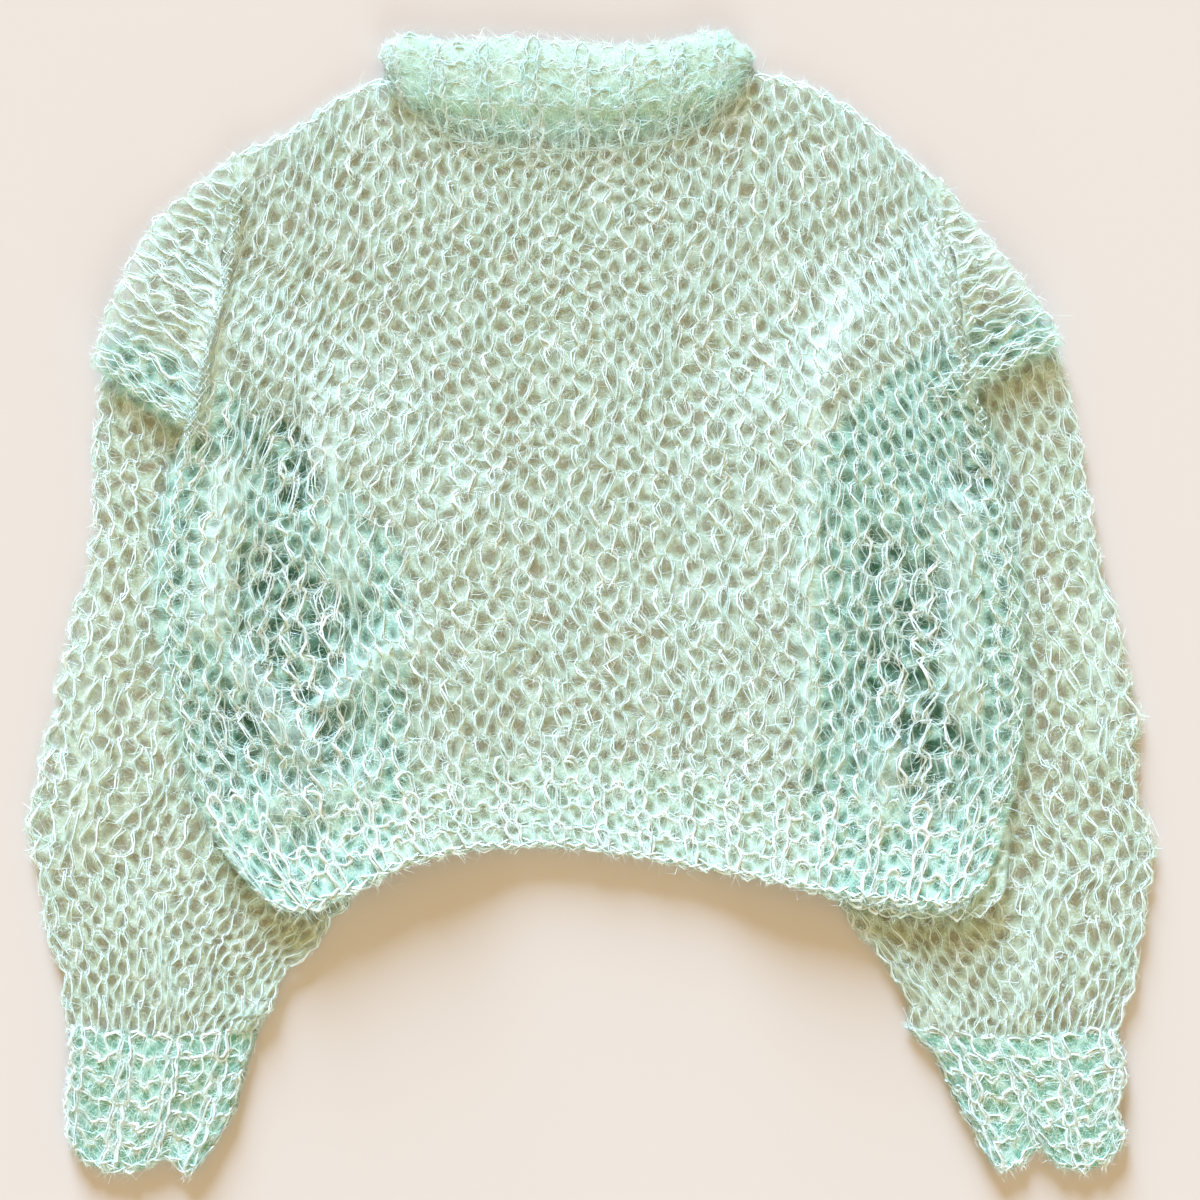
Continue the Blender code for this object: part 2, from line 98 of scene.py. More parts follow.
# Outlines. Columns: across, up
HEM_SEAM = (
    (-252, -125), (-191, -119), (-127, -108), (-63, -100), (-24, -99), (14, -101),
    (65, -109), (129, -120), (193, -127), (261, -125),
)
HEM_EDGE = (
    (-219, -180), (-205, -189), (-190, -191), (-162, -182), (-127, -165), (-95, -156),
    (-63, -152), (-24, -152), (14, -156), (65, -165), (104, -172), (148, -180),
    (174, -185), (206, -188), (233, -186), (245, -177),
)
HEM_LEFT = ((-219, -180), (-232, -164), (-244, -143), (-252, -125))
HEM_RIGHT = ((245, -177), (252, -157), (261, -125))
SIDE_LEFT = (
    (-252, -125), (-258, -106), (-269, -61), (-275, -23), (-278, 15), (-275, 54),
    (-269, 89), (-261, 111),
)
SIDE_RIGHT = (
    (261, -125), (267, -93), (270, -61), (269, -23), (267, 9), (262, 41), (257, 73),
    (250, 105), (237, 140),
)
RIDGE_LEFT = ((-261, 111), (-250, 160), (-241, 200), (-233, 245), (-229, 287))
RIDGE_RIGHT = ((237, 140), (231, 172), (226, 205), (220, 240), (216, 271))
ARMHOLE_LEFT = ((-261, 111), (-277, 121), (-300, 136), (-320, 153))
ARMHOLE_RIGHT = ((237, 140), (257, 155), (277, 163), (293, 166))
WING_EDGE_LEFT = ((-320, 153), (-314, 175), (-301, 207), (-284, 239), (-250, 271), (-229, 287))
WING_EDGE_RIGHT = ((293, 166), (288, 177), (267, 207), (242, 239), (216, 271))
WINGS = {
    "left": (WING_EDGE_LEFT, ARMHOLE_LEFT, RIDGE_LEFT),
    "right": (WING_EDGE_RIGHT, ARMHOLE_RIGHT, RIDGE_RIGHT),
}
SHOULDER_LEFT = ((-229, 287), (-194, 303), (-173, 318), (-150, 330), NECK_LEFT)
SHOULDER_RIGHT = (NECK_RIGHT, (125, 333), (158, 318), (177, 303), (197, 287), (216, 271))
BAND_EDGE = (
    (-140, 351), (-130, 361), (-118, 363), (-101, 359), (-63, 360), (-24, 358), (14, 356),
    (46, 358), (66, 364), (80, 365), (91, 358), (101, 350),
)

# Sleeves and cuffs, each edge from the armhole to the cuff. Columns: across, up
SLEEVES = {
    "left": {
        "outer": (
            (-307, 172), (-321, 140), (-323, 79), (-331, 15), (-343, -49), (-358, -113),
            (-362, -145), (-356, -180), (-349, -215), (-340, -272),
        ),
        "inner": (
            (-129, 38), (-126, -10), (-125, -87), (-128, -125), (-136, -157), (-146, -177),
            (-170, -209), (-190, -225), (-205, -250), (-217, -272),
        ),
        "armhole": ((-307, 172), (-232, 131), (-129, 38)),
        "cuff_seam": ((-340, -272), (-278, -277), (-217, -272)),
        "cuff_outer": ((-340, -272), (-338, -289), (-341, -312), (-340, -337)),
        "cuff_inner": ((-217, -272), (-223, -289), (-233, -321), (-246, -345)),
        "cuff_end": (
            (-340, -337), (-331, -351), (-312, -359), (-290, -358), (-275, -351),
            (-262, -361), (-246, -345),
        ),
    },
    "right": {
        "outer": (
            (284, 187), (294, 160), (302, 127), (314, 79), (331, 15), (344, -49), (349, -113),
            (356, -145), (351, -177), (345, -209), (341, -241), (334, -272),
        ),
        "inner": (
            (133, 92), (134, 28), (133, -49), (134, -87), (137, -125), (143, -157),
            (151, -181), (160, -209), (173, -225), (186, -245), (199, -272),
        ),
        "armhole": ((284, 187), (222, 166), (133, 92)),
        "cuff_seam": ((334, -272), (270, -278), (199, -272)),
        "cuff_outer": ((334, -272), (336, -305), (334, -321), (338, -337)),
        "cuff_inner": ((199, -272), (214, -289), (222, -305), (233, -321), (243, -341)),
        "cuff_end": (
            (338, -337), (325, -353), (308, -359), (292, -355), (281, -346), (270, -355),
            (257, -359), (243, -341),
        ),
    },
}

# Soft ridges of the body. Columns: start across, start up, end across, end up, height, width
BODY_FOLDS = (
    (-239, 201, -258, 120, 2.6, 15),
    (-236, 84, -248, -10, 2.8, 17),
    (-176, 96, -158, 18, 2.4, 16),
    (-225, -40, -186, -92, 2.8, 16),
    (-176, -58, -118, -22, 2.2, 14),
    (-205, -128, -150, -112, 2.0, 15),
    (161, 195, 138, 134, 2.2, 12),
    (136, 128, 134, -96, 2.4, 9),
    (228, 60, 232, -60, 2.6, 17),
    (190, -92, 178, -130, 2.2, 15),
)
# Hollows of the body, where the stitches are spread and the fluff over them thins; the layers below are
# painted dark green there as shade
BODY_HOLLOWS = (
    (-203, 112, -190, 76, -1.4, 20),
    (-214, 20, -180, -8, -1.4, 24),
    (-196, -24, -188, -70, -1.6, 30),
    (-226, -60, -232, -84, -1.2, 18),
    (-186, -120, -196, -134, -1.2, 20),
    (180, 30, 190, 14, -1.4, 18),
    (206, 8, 190, -40, -1.6, 24),
    (196, -56, 210, -86, -1.4, 24),
    (204, -112, 212, -126, -1.2, 18),
    (240, 90, 232, 64, -1.2, 14),
)
# Height and width of the crests along the two ridges
RIDGE_CREST = (2.2, 10)
SLEEVE_FOLDS = (
    (-176, -215, -226, -268, 2.0, 13),
    (-322, -40, -333, -150, 1.8, 18),
    (-290, -190, -270, -262, 1.8, 15),
    (152, -196, 226, -270, 2.0, 13),
    (318, 60, 326, -90, 1.8, 17),
    (286, -180, 268, -262, 1.8, 15),
)
CUFF_VALLEYS = (
    (-230, -277, -264, -342, -1.6, 6),
    (252, -318, 276, -352, -1.6, 7),
)

# Counts of wales and courses
BODY_WALES = 30
BODY_COURSES = 25
SIDE_COURSES = 14
WING_COURSES = 5
SLEEVE_WALES = 13
SLEEVE_COURSES = 25
HEM_COLUMNS = 34
HEM_ROWS = 4
BAND_COLUMNS = 16
BAND_ROWS = 5
CUFF_COLUMNS = 8
CUFF_ROWS = 6

# Shape of one stitch. The waves go across in wales: once, twice and three times in a stitch
STOCKING_WAVES = (0.035, 0.19, 0.085)
STOCKING_REACH = 0.70
STOCKING_DEPTH = 1.1
RIB_WAVES = (0.02, 0.165, 0.05)
RIB_REACH = 0.68
RIB_DEPTH = 0.9
RIB_RISE = 0.5

# Plaited edges: strands, steps in a turn, sides of a strand, and rise for each bit of swing
CORD_STRANDS = 3
CORD_STEPS = 8
CORD_SIDES = 3
CORD_RISE = 0.6

# Hairs: share of a tube's moved to its upper side, share that springs from the knots and how near
# them, how uneven their length and climb are, how far one rolls at most, how far up one stands, and
# how narrow and wide one is beside the usual
TOP_SHARE = 0.6
KNOT_SHARE = 0.42
KNOT_SPREAD = 0.3
LENGTH_SPREAD = 0.45
CLIMB_SPREAD = 0.16
MOST_ROLL = 1.1
HAIR_TOP = 5.0
WIDTH_RANGE = (0.6, 1.4)

# The two kinds of hair. Columns: segments, bend, climb, spread, share at the edges, scatter
LONG_HAIR = (2, 1.5, 0.12, 1.6, 0.16, 0.6)
FUZZ = (1, 0.3, 0.10, 0.7, 0.06, 0.9)

# Half width of the floor, where the camera looks down, and the cloth's usual height, in metres
FLOOR_SIZE = 15.0
CAMERA_PLACE = (0.0043, 0.0012)
CLOTH_HEIGHT = 0.005

# Rows of the noise's table, and its two layers. Columns: bump across and up, start across and up
NOISE_ROWS = 61
SLOW_DRIFT = (60, 60, 31, 17)
QUICK_JITTER = (15, 17, 57, 91)

# Stitches from an edge within which it wanders less, and the lowest height of all in millimetres
CALM_EDGE = 1.5
LOWEST = 0.15

# How finely the maps are worked out, in steps for each stitch
MAP_STEPS = 5
HAZE_STEPS = 3

# How much a ridge draws the cloth in, how much of a tube's width its rounded fold takes, and how much
# of the fluff stays on that fold
FOLD_PULL = 0.35
FOLD_ROUNDING = 0.035
FOLD_FLUFF = 0.3

# How far apart a strand's path is read for its direction, in radians, and how much of a strand's
# wander is up and down
SMALL_TURN = 1e-3
LIFT_WANDER = 0.4

# How far the fluff reaches past its stitches and how soon it thins out at edges, in stitches
HAZE_MARGIN = 0.32
BAND_FADE = 2.2
FOLD_FADE = 0.8

# How soon its colour changes where layers overlap, and how far the hem's edge lifts, in millimetres
OVERLAP_FADE = 10.0
HEM_LIFT = 3.5


def millimetres(length):
    return length / MILLIMETRE


def smooth_step(value):
    held = np.clip(value, 0.0, 1.0)
    return held * held * (3.0 - 2.0 * held)


def blended(grid, rows, columns, rise, side):
    """Values of a grid between two rows and two columns."""
    low = grid[rows[0], columns[0]] * (1 - side) + grid[rows[0], columns[1]] * side
    high = grid[rows[1], columns[0]] * (1 - side) + grid[rows[1], columns[1]] * side
    return low * (1 - rise) + high * rise


def smooth_noise(across, up, seed, repeat=NOISE_ROWS):
    """Smooth random numbers from -1 to 1, a bump for each whole step of across and of up."""
    table = np.random.default_rng(seed).uniform(-1.0, 1.0, (NOISE_ROWS, repeat))
    column = np.floor(across).astype(int)
    row = np.floor(up).astype(int)
    rows = (row % NOISE_ROWS, (row + 1) % NOISE_ROWS)
    columns = (column % repeat, (column + 1) % repeat)
    return blended(table, rows, columns, smooth_step(up - row), smooth_step(across - column))


def moved_noise(x, y, length_x, length_y, start_x, start_y):
    """Where to read the noise whose bumps have these lengths in millimetres."""
    return x / length_x + start_x, y / length_y + start_y


def unit_length(vectors):
    return vectors / np.maximum(np.linalg.norm(vectors, axis=-1, keepdims=True), 1e-9)


def shares_of(lengths):
    """Where runs of these lengths start and end, as shares of them all."""
    return np.concatenate([[0.0], np.cumsum(lengths)]) / np.sum(lengths)


def steps_of(points):
    return np.linalg.norm(np.diff(np.array(points, float), axis=0), axis=1)


def curve(points):
    """A smooth curve through the points, as a function of the share of its length."""
    points = np.array(points, float)
    ends = shares_of(steps_of(points))
    slopes = np.gradient(points, ends, axis=0)

    def at(share):
        share = np.clip(np.asarray(share, float), 0.0, 1.0)
        index = np.clip(np.searchsorted(ends, share, side="right") - 1, 0, len(ends) - 2)
        span = (ends[index + 1] - ends[index])[..., None]
        s = (share - ends[index])[..., None] / span
        start = points[index] * (2 * s**3 - 3 * s**2 + 1) + slopes[index] * span * (s**3 - 2 * s**2 + s)
        end = points[index + 1] * (3 * s**2 - 2 * s**3) + slopes[index + 1] * span * (s**3 - s**2)
        return start + end

    return at


def length_of(points):
    return float(steps_of(points).sum())


def chain(*runs):
    """Curves that run on from each other, each given with its length, joined into one."""
    ends = shares_of(np.array([length for _, length in runs], float))

    def at(share):
        share = np.clip(np.asarray(share, float), 0.0, 1.0)
        found = runs[0][0](share / ends[1])
        for index in range(1, len(runs)):
            here = runs[index][0]((share - ends[index]) / (ends[index + 1] - ends[index]))
            found = np.where((share > ends[index])[..., None], here, found)
        return found

    return at


def table_chain(*tables):
    return chain(*[(curve(table), length_of(table)) for table in tables])


def patch(bottom, top, left, right):
    """Point of a panel at the shares a across and b up, worked out from its four edges."""

    def at(a, b):
        across, up = a[..., None], b[..., None]
        between_sides = (1 - across) * left(b) + across * right(b)
        between_ends = (1 - up) * bottom(a) + up * top(a)
        corners = (1 - up) * ((1 - across) * bottom(0.0) + across * bottom(1.0))
        corners = corners + up * ((1 - across) * top(0.0) + across * top(1.0))
        return between_sides + between_ends - corners

    return at


def neck_drop(share, dip):
    return dip * (1.0 - np.abs(2.0 * share - 1.0) ** NECK_DIP_POWER)


def neckline(dip):
    corner = np.array(NECK_LEFT, float)
    run = np.array(NECK_RIGHT, float) - corner

    def at(share):
        share = np.asarray(share, float)
        depth = neck_drop(share, dip)
        return corner + share[..., None] * run - np.stack([0.0 * depth, depth], axis=-1)

    return at


def reverse(edge):
    return lambda share: edge(1.0 - np.asarray(share, float))


def outline_of(edges, samples=40):
    shares = np.arange(samples) / samples
    return np.concatenate([edge(shares) for edge in edges])


def off_line(x, y, x0, y0, x1, y1):
    """How far points lie from the nearest place on a line, across and up."""
    run_x, run_y = x1 - x0, y1 - y0
    share = np.clip(((x - x0) * run_x + (y - y0) * run_y) / (run_x**2 + run_y**2), 0.0, 1.0)
    return x - x0 - share * run_x, y - y0 - share * run_y


def distance_outside(outline, x, y):
    """How far points lie outside a closed outline, and 0 within it."""
    nearest = np.full(x.shape, 1e9)
    crossings = np.zeros(x.shape, int)
    for (x0, y0), (x1, y1) in zip(outline, np.roll(outline, -1, axis=0)):
        nearest = np.minimum(nearest, np.hypot(*off_line(x, y, x0, y0, x1, y1)))
        if y1 != y0:
            meets = x0 + (y - y0) / (y1 - y0) * (x1 - x0)
            crossings += ((y0 > y) != (y1 > y)) & (x < meets)
    return np.where(crossings % 2 == 1, 0.0, nearest)


def ridges(folds, x, y):
    """Height that the soft ridges in a table add, and where the cloth is drawn to by them."""
    total = np.zeros(x.shape)
    pull_x = np.zeros(x.shape)
    pull_y = np.zeros(x.shape)
    for *ends, height, width in folds:
        off_x, off_y = off_line(x, y, *ends)
        near = np.exp(-(off_x**2 + off_y**2) / width**2)
        total = np.where(np.abs(height * near) > np.abs(total), height * near, total)
        pull_x -= math.copysign(FOLD_PULL, height) * near * off_x
        pull_y -= math.copysign(FOLD_PULL, height) * near * off_y
    return total, pull_x, pull_y


def along(table, crest):
    """A row of ridges that follow a table's points."""
    return tuple((*start, *end, *crest) for start, end in zip(table, table[1:]))


BODY_CREASES = (
    BODY_FOLDS + BODY_HOLLOWS + along(RIDGE_LEFT, RIDGE_CREST) + along(RIDGE_RIGHT, RIDGE_CREST)
)


def sleeve_outline(tables):
    outer, cuff_seam = curve(tables["outer"]), curve(tables["cuff_seam"])
    inner, armhole = curve(tables["inner"]), curve(tables["armhole"])
    return outline_of((outer, cuff_seam, reverse(inner), reverse(armhole)))


class HeightMap:
    """Heights worked out once on an even grid over the garment and read between its points."""

    SPACING = 4.0
    REACH = 400.0

    def __init__(self, height):
        line = np.arange(-self.REACH, self.REACH + self.SPACING, self.SPACING)
        x, y = np.meshgrid(line, line)
        self.heights = height(x, y)

    def at(self, x, y):
        last = len(self.heights) - 2
        column = np.clip((x + self.REACH) / self.SPACING, 0, last)
        row = np.clip((y + self.REACH) / self.SPACING, 0, last)
        i, j = column.astype(int), row.astype(int)
        return blended(self.heights, (j, j + 1), (i, i + 1), row - j, column - i)


def from_sleeves(x, y):
    """How far points lie from the nearest sleeve."""
    return np.minimum(*[distance_outside(sleeve_outline(side), x, y) for side in SLEEVES.values()])


def drape_height(x, y):
    """Height of what the body lies on: the bare surface, or a sleeve under it."""
    level = SLEEVE_THICKNESS + SLEEVE_CLEARANCE
    return level * (1.0 - smooth_step((from_sleeves(x, y) - DRAPE_LEVEL) / DRAPE_LENGTH))


def body_outline():
    """The whole body seen from above, with its hem and both wings."""
    edges = [curve(table) for table in (HEM_EDGE, HEM_RIGHT, SIDE_RIGHT, ARMHOLE_RIGHT, WING_EDGE_RIGHT)]
    edges += [reverse(curve(table)) for table in (WING_EDGE_LEFT, ARMHOLE_LEFT, SIDE_LEFT, HEM_LEFT)]
    return outline_of(edges)


def overlap_share(x, y):
    """1 where the body lies on a sleeve, 0 where only one of them is."""
    from_both = np.maximum(from_sleeves(x, y), distance_outside(body_outline(), x, y))
    return 1.0 - smooth_step(from_both / OVERLAP_FADE)


DRAPE = HeightMap(drape_height)
OVERLAP = HeightMap(overlap_share)

# Where the tables' zero lies in the frame: the left armhole's tip and the right neck corner are known
SHIFT = np.array(
    (
        millimetres(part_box("back")[0][0]) - WING_EDGE_LEFT[0][0],
        millimetres(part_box("back")[1][1]) - NECK_RIGHT[1],
        0.0,
    )
)


class Cloth:
    """Where a knitted layer lies, as a function of wales across, courses up and height over it."""

    def __init__(
        self, wales, courses, place, closed=False, seed=0, drift=5.0, jitter=3.5, limit=None,
        folds=BODY_CREASES, layers=None,
    ):
        """limit gives the courses at a share across, and layers how mint the fluff is at a course."""
        self.wales, self.courses, self.closed, self.seed = wales, courses, closed, seed
        self.limit, self.folds, self.layers = limit, folds, layers
        across = np.linspace(0.0, wales, wales * MAP_STEPS + 1)
        up = np.linspace(0.0, courses, courses * MAP_STEPS + 1)
        u, v = np.meshgrid(across, up)
        points = place(u / wales, v / courses)
        inside = smooth_step(np.minimum(v, courses - v) / CALM_EDGE)
        if not closed:
            inside = inside * smooth_step(np.minimum(u, wales - u) / CALM_EDGE)
        x, y = points[..., 0], points[..., 1]
        for axis in (0, 1):
            slow = smooth_noise(*moved_noise(x, y, *SLOW_DRIFT), seed + axis)
            quick = smooth_noise(*moved_noise(x, y, *QUICK_JITTER), seed + 2 + axis)
            points[..., axis] += inside * (drift * slow + jitter * quick)
        self.points = points + SHIFT
        slope_u = np.gradient(points, axis=1)
        slope_v = np.gradient(points, axis=0)
        if closed:
            seam = (slope_u[:, 0] + slope_u[:, -1]) / 2
            slope_u[:, 0] = seam
            slope_u[:, -1] = seam
        normals = unit_length(np.cross(slope_u, slope_v))
        middle = normals[courses * MAP_STEPS // 2, wales * MAP_STEPS // (4 if closed else 2), 2]
        self.mirrored = middle < 0.0
        self.normals = -normals if self.mirrored else normals

    def at(self, u, v, lift):
        """Points in metres."""
        rows, columns = self.points.shape[:2]
        column = u * MAP_STEPS
        if self.closed:
            column = np.mod(column, columns - 1)
        row = v * MAP_STEPS
        i = np.clip(np.floor(column).astype(int), 0, columns - 2)
        j = np.clip(np.floor(row).astype(int), 0, rows - 2)
        f = np.clip(column - i, -MAP_STEPS, MAP_STEPS)[:, None]
        g = np.clip(row - j, -MAP_STEPS, MAP_STEPS)[:, None]
        place = blended(self.points, (j, j + 1), (i, i + 1), g, f)
        normal = blended(self.normals, (j, j + 1), (i, i + 1), g, f)
        place = place + unit_length(normal) * lift[:, None]
        place[:, 2] = np.maximum(place[:, 2], LOWEST)
        return place * MILLIMETRE


def waved(t, waves):
    """How far across the yarn is: on by one wale a stitch, and to and fro in waves."""
    return t / FULL_TURN + sum(size * np.sin((n + 1) * t) for n, size in enumerate(waves))


def stocking_path(t):
    """One stitch of stocking stitch: wales, courses and millimetres of height."""
    return waved(t, STOCKING_WAVES), 0.5 - STOCKING_REACH * np.cos(t), -STOCKING_DEPTH * np.cos(2 * t)


def rib_path(t):
    """A knit stitch and a purl stitch of 1x1 rib."""
    height = np.sin(t / 2) * (RIB_RISE - RIB_DEPTH * np.cos(2 * t))
    return waved(t, RIB_WAVES), 0.5 - RIB_REACH * np.cos(t), height


class Stitch:
    """What repeats in a knitted layer: its path, how many columns it takes, and its size."""

    def __init__(self, path, columns, wale, course):
        self.path, self.columns, self.wale, self.course = path, columns, wale, course


STOCKING = Stitch(stocking_path, 1, 17.3, 17.5)
RIB = Stitch(rib_path, 2, 15.2, 13.0)


def grid_shape(columns, rows, size=0.5):
    shape = bmesh.new()
    bmesh.ops.create_grid(shape, x_segments=columns, y_segments=rows, size=size)
    return shape


def opened(mesh):
    shape = bmesh.new()
    shape.from_mesh(mesh)
    return shape


def stored(shape, mesh):
    shape.to_mesh(mesh)
    shape.free()
    return mesh


def linked(name, data):
    """A new object in the scene."""
    thing = bpy.data.objects.new(name, data)
    bpy.context.scene.collection.objects.link(thing)
    return thing


def repeated(shape, *arrays):
    """Copies of a shape joined into one mesh. Columns of arrays: count, offset, merged."""
    mesh = stored(shape, bpy.data.meshes.new("unit"))
    helper = linked("unit", mesh)
    for count, offset, merged in arrays:
        array = helper.modifiers.new("copies", "ARRAY")
        array.count = count
        array.use_relative_offset = False
        array.use_constant_offset = True
        array.constant_offset_displace = offset
        array.use_merge_vertices = merged
        array.merge_threshold = 0.0001
    graph = bpy.context.evaluated_depsgraph_get()
    result = bpy.data.meshes.new_from_object(helper.evaluated_get(graph))
    bpy.data.objects.remove(helper)
    bpy.data.meshes.remove(mesh)
    return result


def grid_mesh(name, columns, rows, size=0.5):
    """A flat grid as a new mesh."""
    return stored(grid_shape(columns, rows, size), bpy.data.meshes.new(name))


def coordinates(mesh):
    values = np.empty(len(mesh.vertices) * 3, np.float32)
    mesh.vertices.foreach_get("co", values)
    return values.reshape(-1, 3).astype(float)


def set_coordinates(mesh, points):
    mesh.vertices.foreach_set("co", points.astype(np.float32).reshape(-1))
    mesh.update()


def tube_shape(path, span, steps, sides, radius, wale, course):
    """A stretch of yarn along a path, in wales, courses and millimetres."""
    shape = grid_shape(steps, sides)
    gauge = np.array((wale, course, 1.0))
    for corner in shape.verts:
        t = (corner.co.x + 0.5) * span
        turn = (corner.co.y + 0.5) * FULL_TURN
        centre = np.array(path(t)) * gauge
        tangent = (np.array(path(t + SMALL_TURN)) - np.array(path(t - SMALL_TURN))) * gauge
        tangent /= np.linalg.norm(tangent)
        side = np.cross(tangent, (0.0, 0.0, 1.0))
        side /= np.linalg.norm(side)
        over = np.cross(side, tangent)
        corner.co = (centre + radius * (math.cos(turn) * side + math.sin(turn) * over)) / gauge
    bmesh.ops.remove_doubles(shape, verts=shape.verts[:], dist=1e-5)
    return shape


def yarn_mesh(cloth, stitch, strand, seed):
    """All courses of one strand of yarn. Columns of strand: radius, sides, steps, wander."""
    radius, sides, steps, wander = strand
    units = cloth.wales // stitch.columns
    shape = tube_shape(
        stitch.path, stitch.columns * FULL_TURN, steps * stitch.columns, sides, radius,
        stitch.wale, stitch.course,
    )
    row = repeated(shape, (units, (stitch.columns, 0, 0), True))
    shape = opened(row)
    if not cloth.closed:
        bmesh.ops.holes_fill(shape, edges=shape.edges[:], sides=sides)
    in_row = len(shape.verts)
    bpy.data.meshes.remove(row)
    mesh = repeated(shape, (cloth.courses, (0, 1, 0), False))
    u, v, lift = coordinates(mesh).T
    course = np.arange(len(u)) // in_row
    repeat = cloth.wales * 2
    u_moved = u + wander / stitch.wale * smooth_noise(u * 2, course * 1.0, seed, repeat)
    v_moved = v + wander / stitch.course * smooth_noise(u * 2, course * 1.0, seed + 1, repeat)
    lift = lift + LIFT_WANDER * wander * smooth_noise(u * 2, course * 1.0, seed + 2, repeat)
    set_coordinates(mesh, cloth.at(u_moved, v_moved, lift))
    if cloth.mirrored:
        mesh.flip_normals()
    if cloth.limit is not None:
        cut_mesh(mesh, v <= cloth.limit(u / cloth.wales))
    return mesh


def cut_mesh(mesh, kept):
    shape = opened(mesh)
    shape.verts.ensure_lookup_table()
    gone = [shape.verts[index] for index in np.flatnonzero(~kept)]
    bmesh.ops.delete(shape, geom=gone, context="VERTS")
    bmesh.ops.holes_fill(shape, edges=shape.edges[:], sides=4)
    stored(shape, mesh)


def haze_mesh(cloth, lift, fade):
    """A thin sheet on the layer, a little wider than it, which starts to thin out at its edges."""
    margin = HAZE_MARGIN
    columns, rows = cloth.wales * HAZE_STEPS, cloth.courses * HAZE_STEPS
    mesh = grid_mesh("haze", columns, rows)
    flat = coordinates(mesh)
    side = 0.0 if cloth.closed else margin
    u = (flat[:, 0] + 0.5) * (cloth.wales + 2 * side) - side
    v = (flat[:, 1] + 0.5) * (cloth.courses + 2 * margin) - margin
    if cloth.limit is not None:
        v = (flat[:, 1] + 0.5) * (cloth.limit(np.clip(u / cloth.wales, 0, 1)) + margin) - margin
    low, high = v + margin, cloth.courses + margin - v
    edge = np.minimum(low, high) if cloth.limit is None else low
    inside = np.minimum(np.clip(edge / margin, 0.0, 1.0), np.clip(low / fade, 0.0, 1.0))
    if cloth.closed:
        half = cloth.wales / 2
        from_fold = half / 2 - np.abs(np.mod(u, half) - half / 2)
        folded = np.clip(from_fold / FOLD_FADE, 0.0, 1.0)
        inside = inside * (FOLD_FLUFF + (1.0 - FOLD_FLUFF) * folded)
    else:
        sides = np.minimum(u + side, cloth.wales + side - u)
        inside = np.minimum(inside, np.clip(sides / margin, 0.0, 1.0))
    set_coordinates(mesh, cloth.at(u, v, 0.0 * u + lift))
    corners = np.empty(len(mesh.loops), np.int32)
    mesh.loops.foreach_get("vertex_index", corners)
    layer = mesh.uv_layers.new(name="stitches")
    layer.data.foreach_set("uv", np.stack([u, v], axis=1)[corners].astype(np.float32).reshape(-1))
    x, y, _ = millimetres(coordinates(mesh)).T - SHIFT[:, None]
    found = {
        "inside": inside,
        "raised": ridges(cloth.folds, x, y)[0],
        "hollow": -ridges(BODY_HOLLOWS, x, y)[0],
        "layered": OVERLAP.at(x, y) if cloth.layers is None else cloth.layers(v),
    }
    for label, values in found.items():
        attribute = mesh.attributes.new(label, "FLOAT", "POINT")
        attribute.data.foreach_set("value", values.astype(np.float32))
    if cloth.mirrored:
        mesh.flip_normals()
    return mesh


def hair_shape(segments):
    """A flat tapered hair that ends in a point."""
    shape = grid_shape(segments, 1)
    tip = [corner for corner in shape.verts if corner.co.x > 0.49]
    bmesh.ops.pointmerge(shape, verts=tip, merge_co=(0.5, 0.0, 0.0))
    return shape


class Hairs:
    """A kind of loose hair, in millimetres and radians."""

    def __init__(self, row, length, width):
        self.segments, self.bend, self.climb, self.spread, self.fringe, self.scatter = row
        self.length, self.width = millimetres(length), millimetres(width)


def fringe_places(cloth, across, up, draw, share):
    """Moves a share of the hairs to the outermost stitches of the layer."""
    count = len(across)
    moved = draw.random(count) < share
    side = draw.integers(0, 4, count)
    if cloth.closed:
        side = side % 2
    last_wale = cloth.wales // 2 if cloth.closed else cloth.wales - 1
    across = np.where(moved & (side == 0), across % 1.0, across)
    across = np.where(moved & (side == 1), across % 1.0 + last_wale, across)
    up = np.where(moved & (side == 2), up % 1.0, up)
    up = np.where(moved & (side == 3), up % 1.0 + cloth.courses - 1, up)
    return across, up


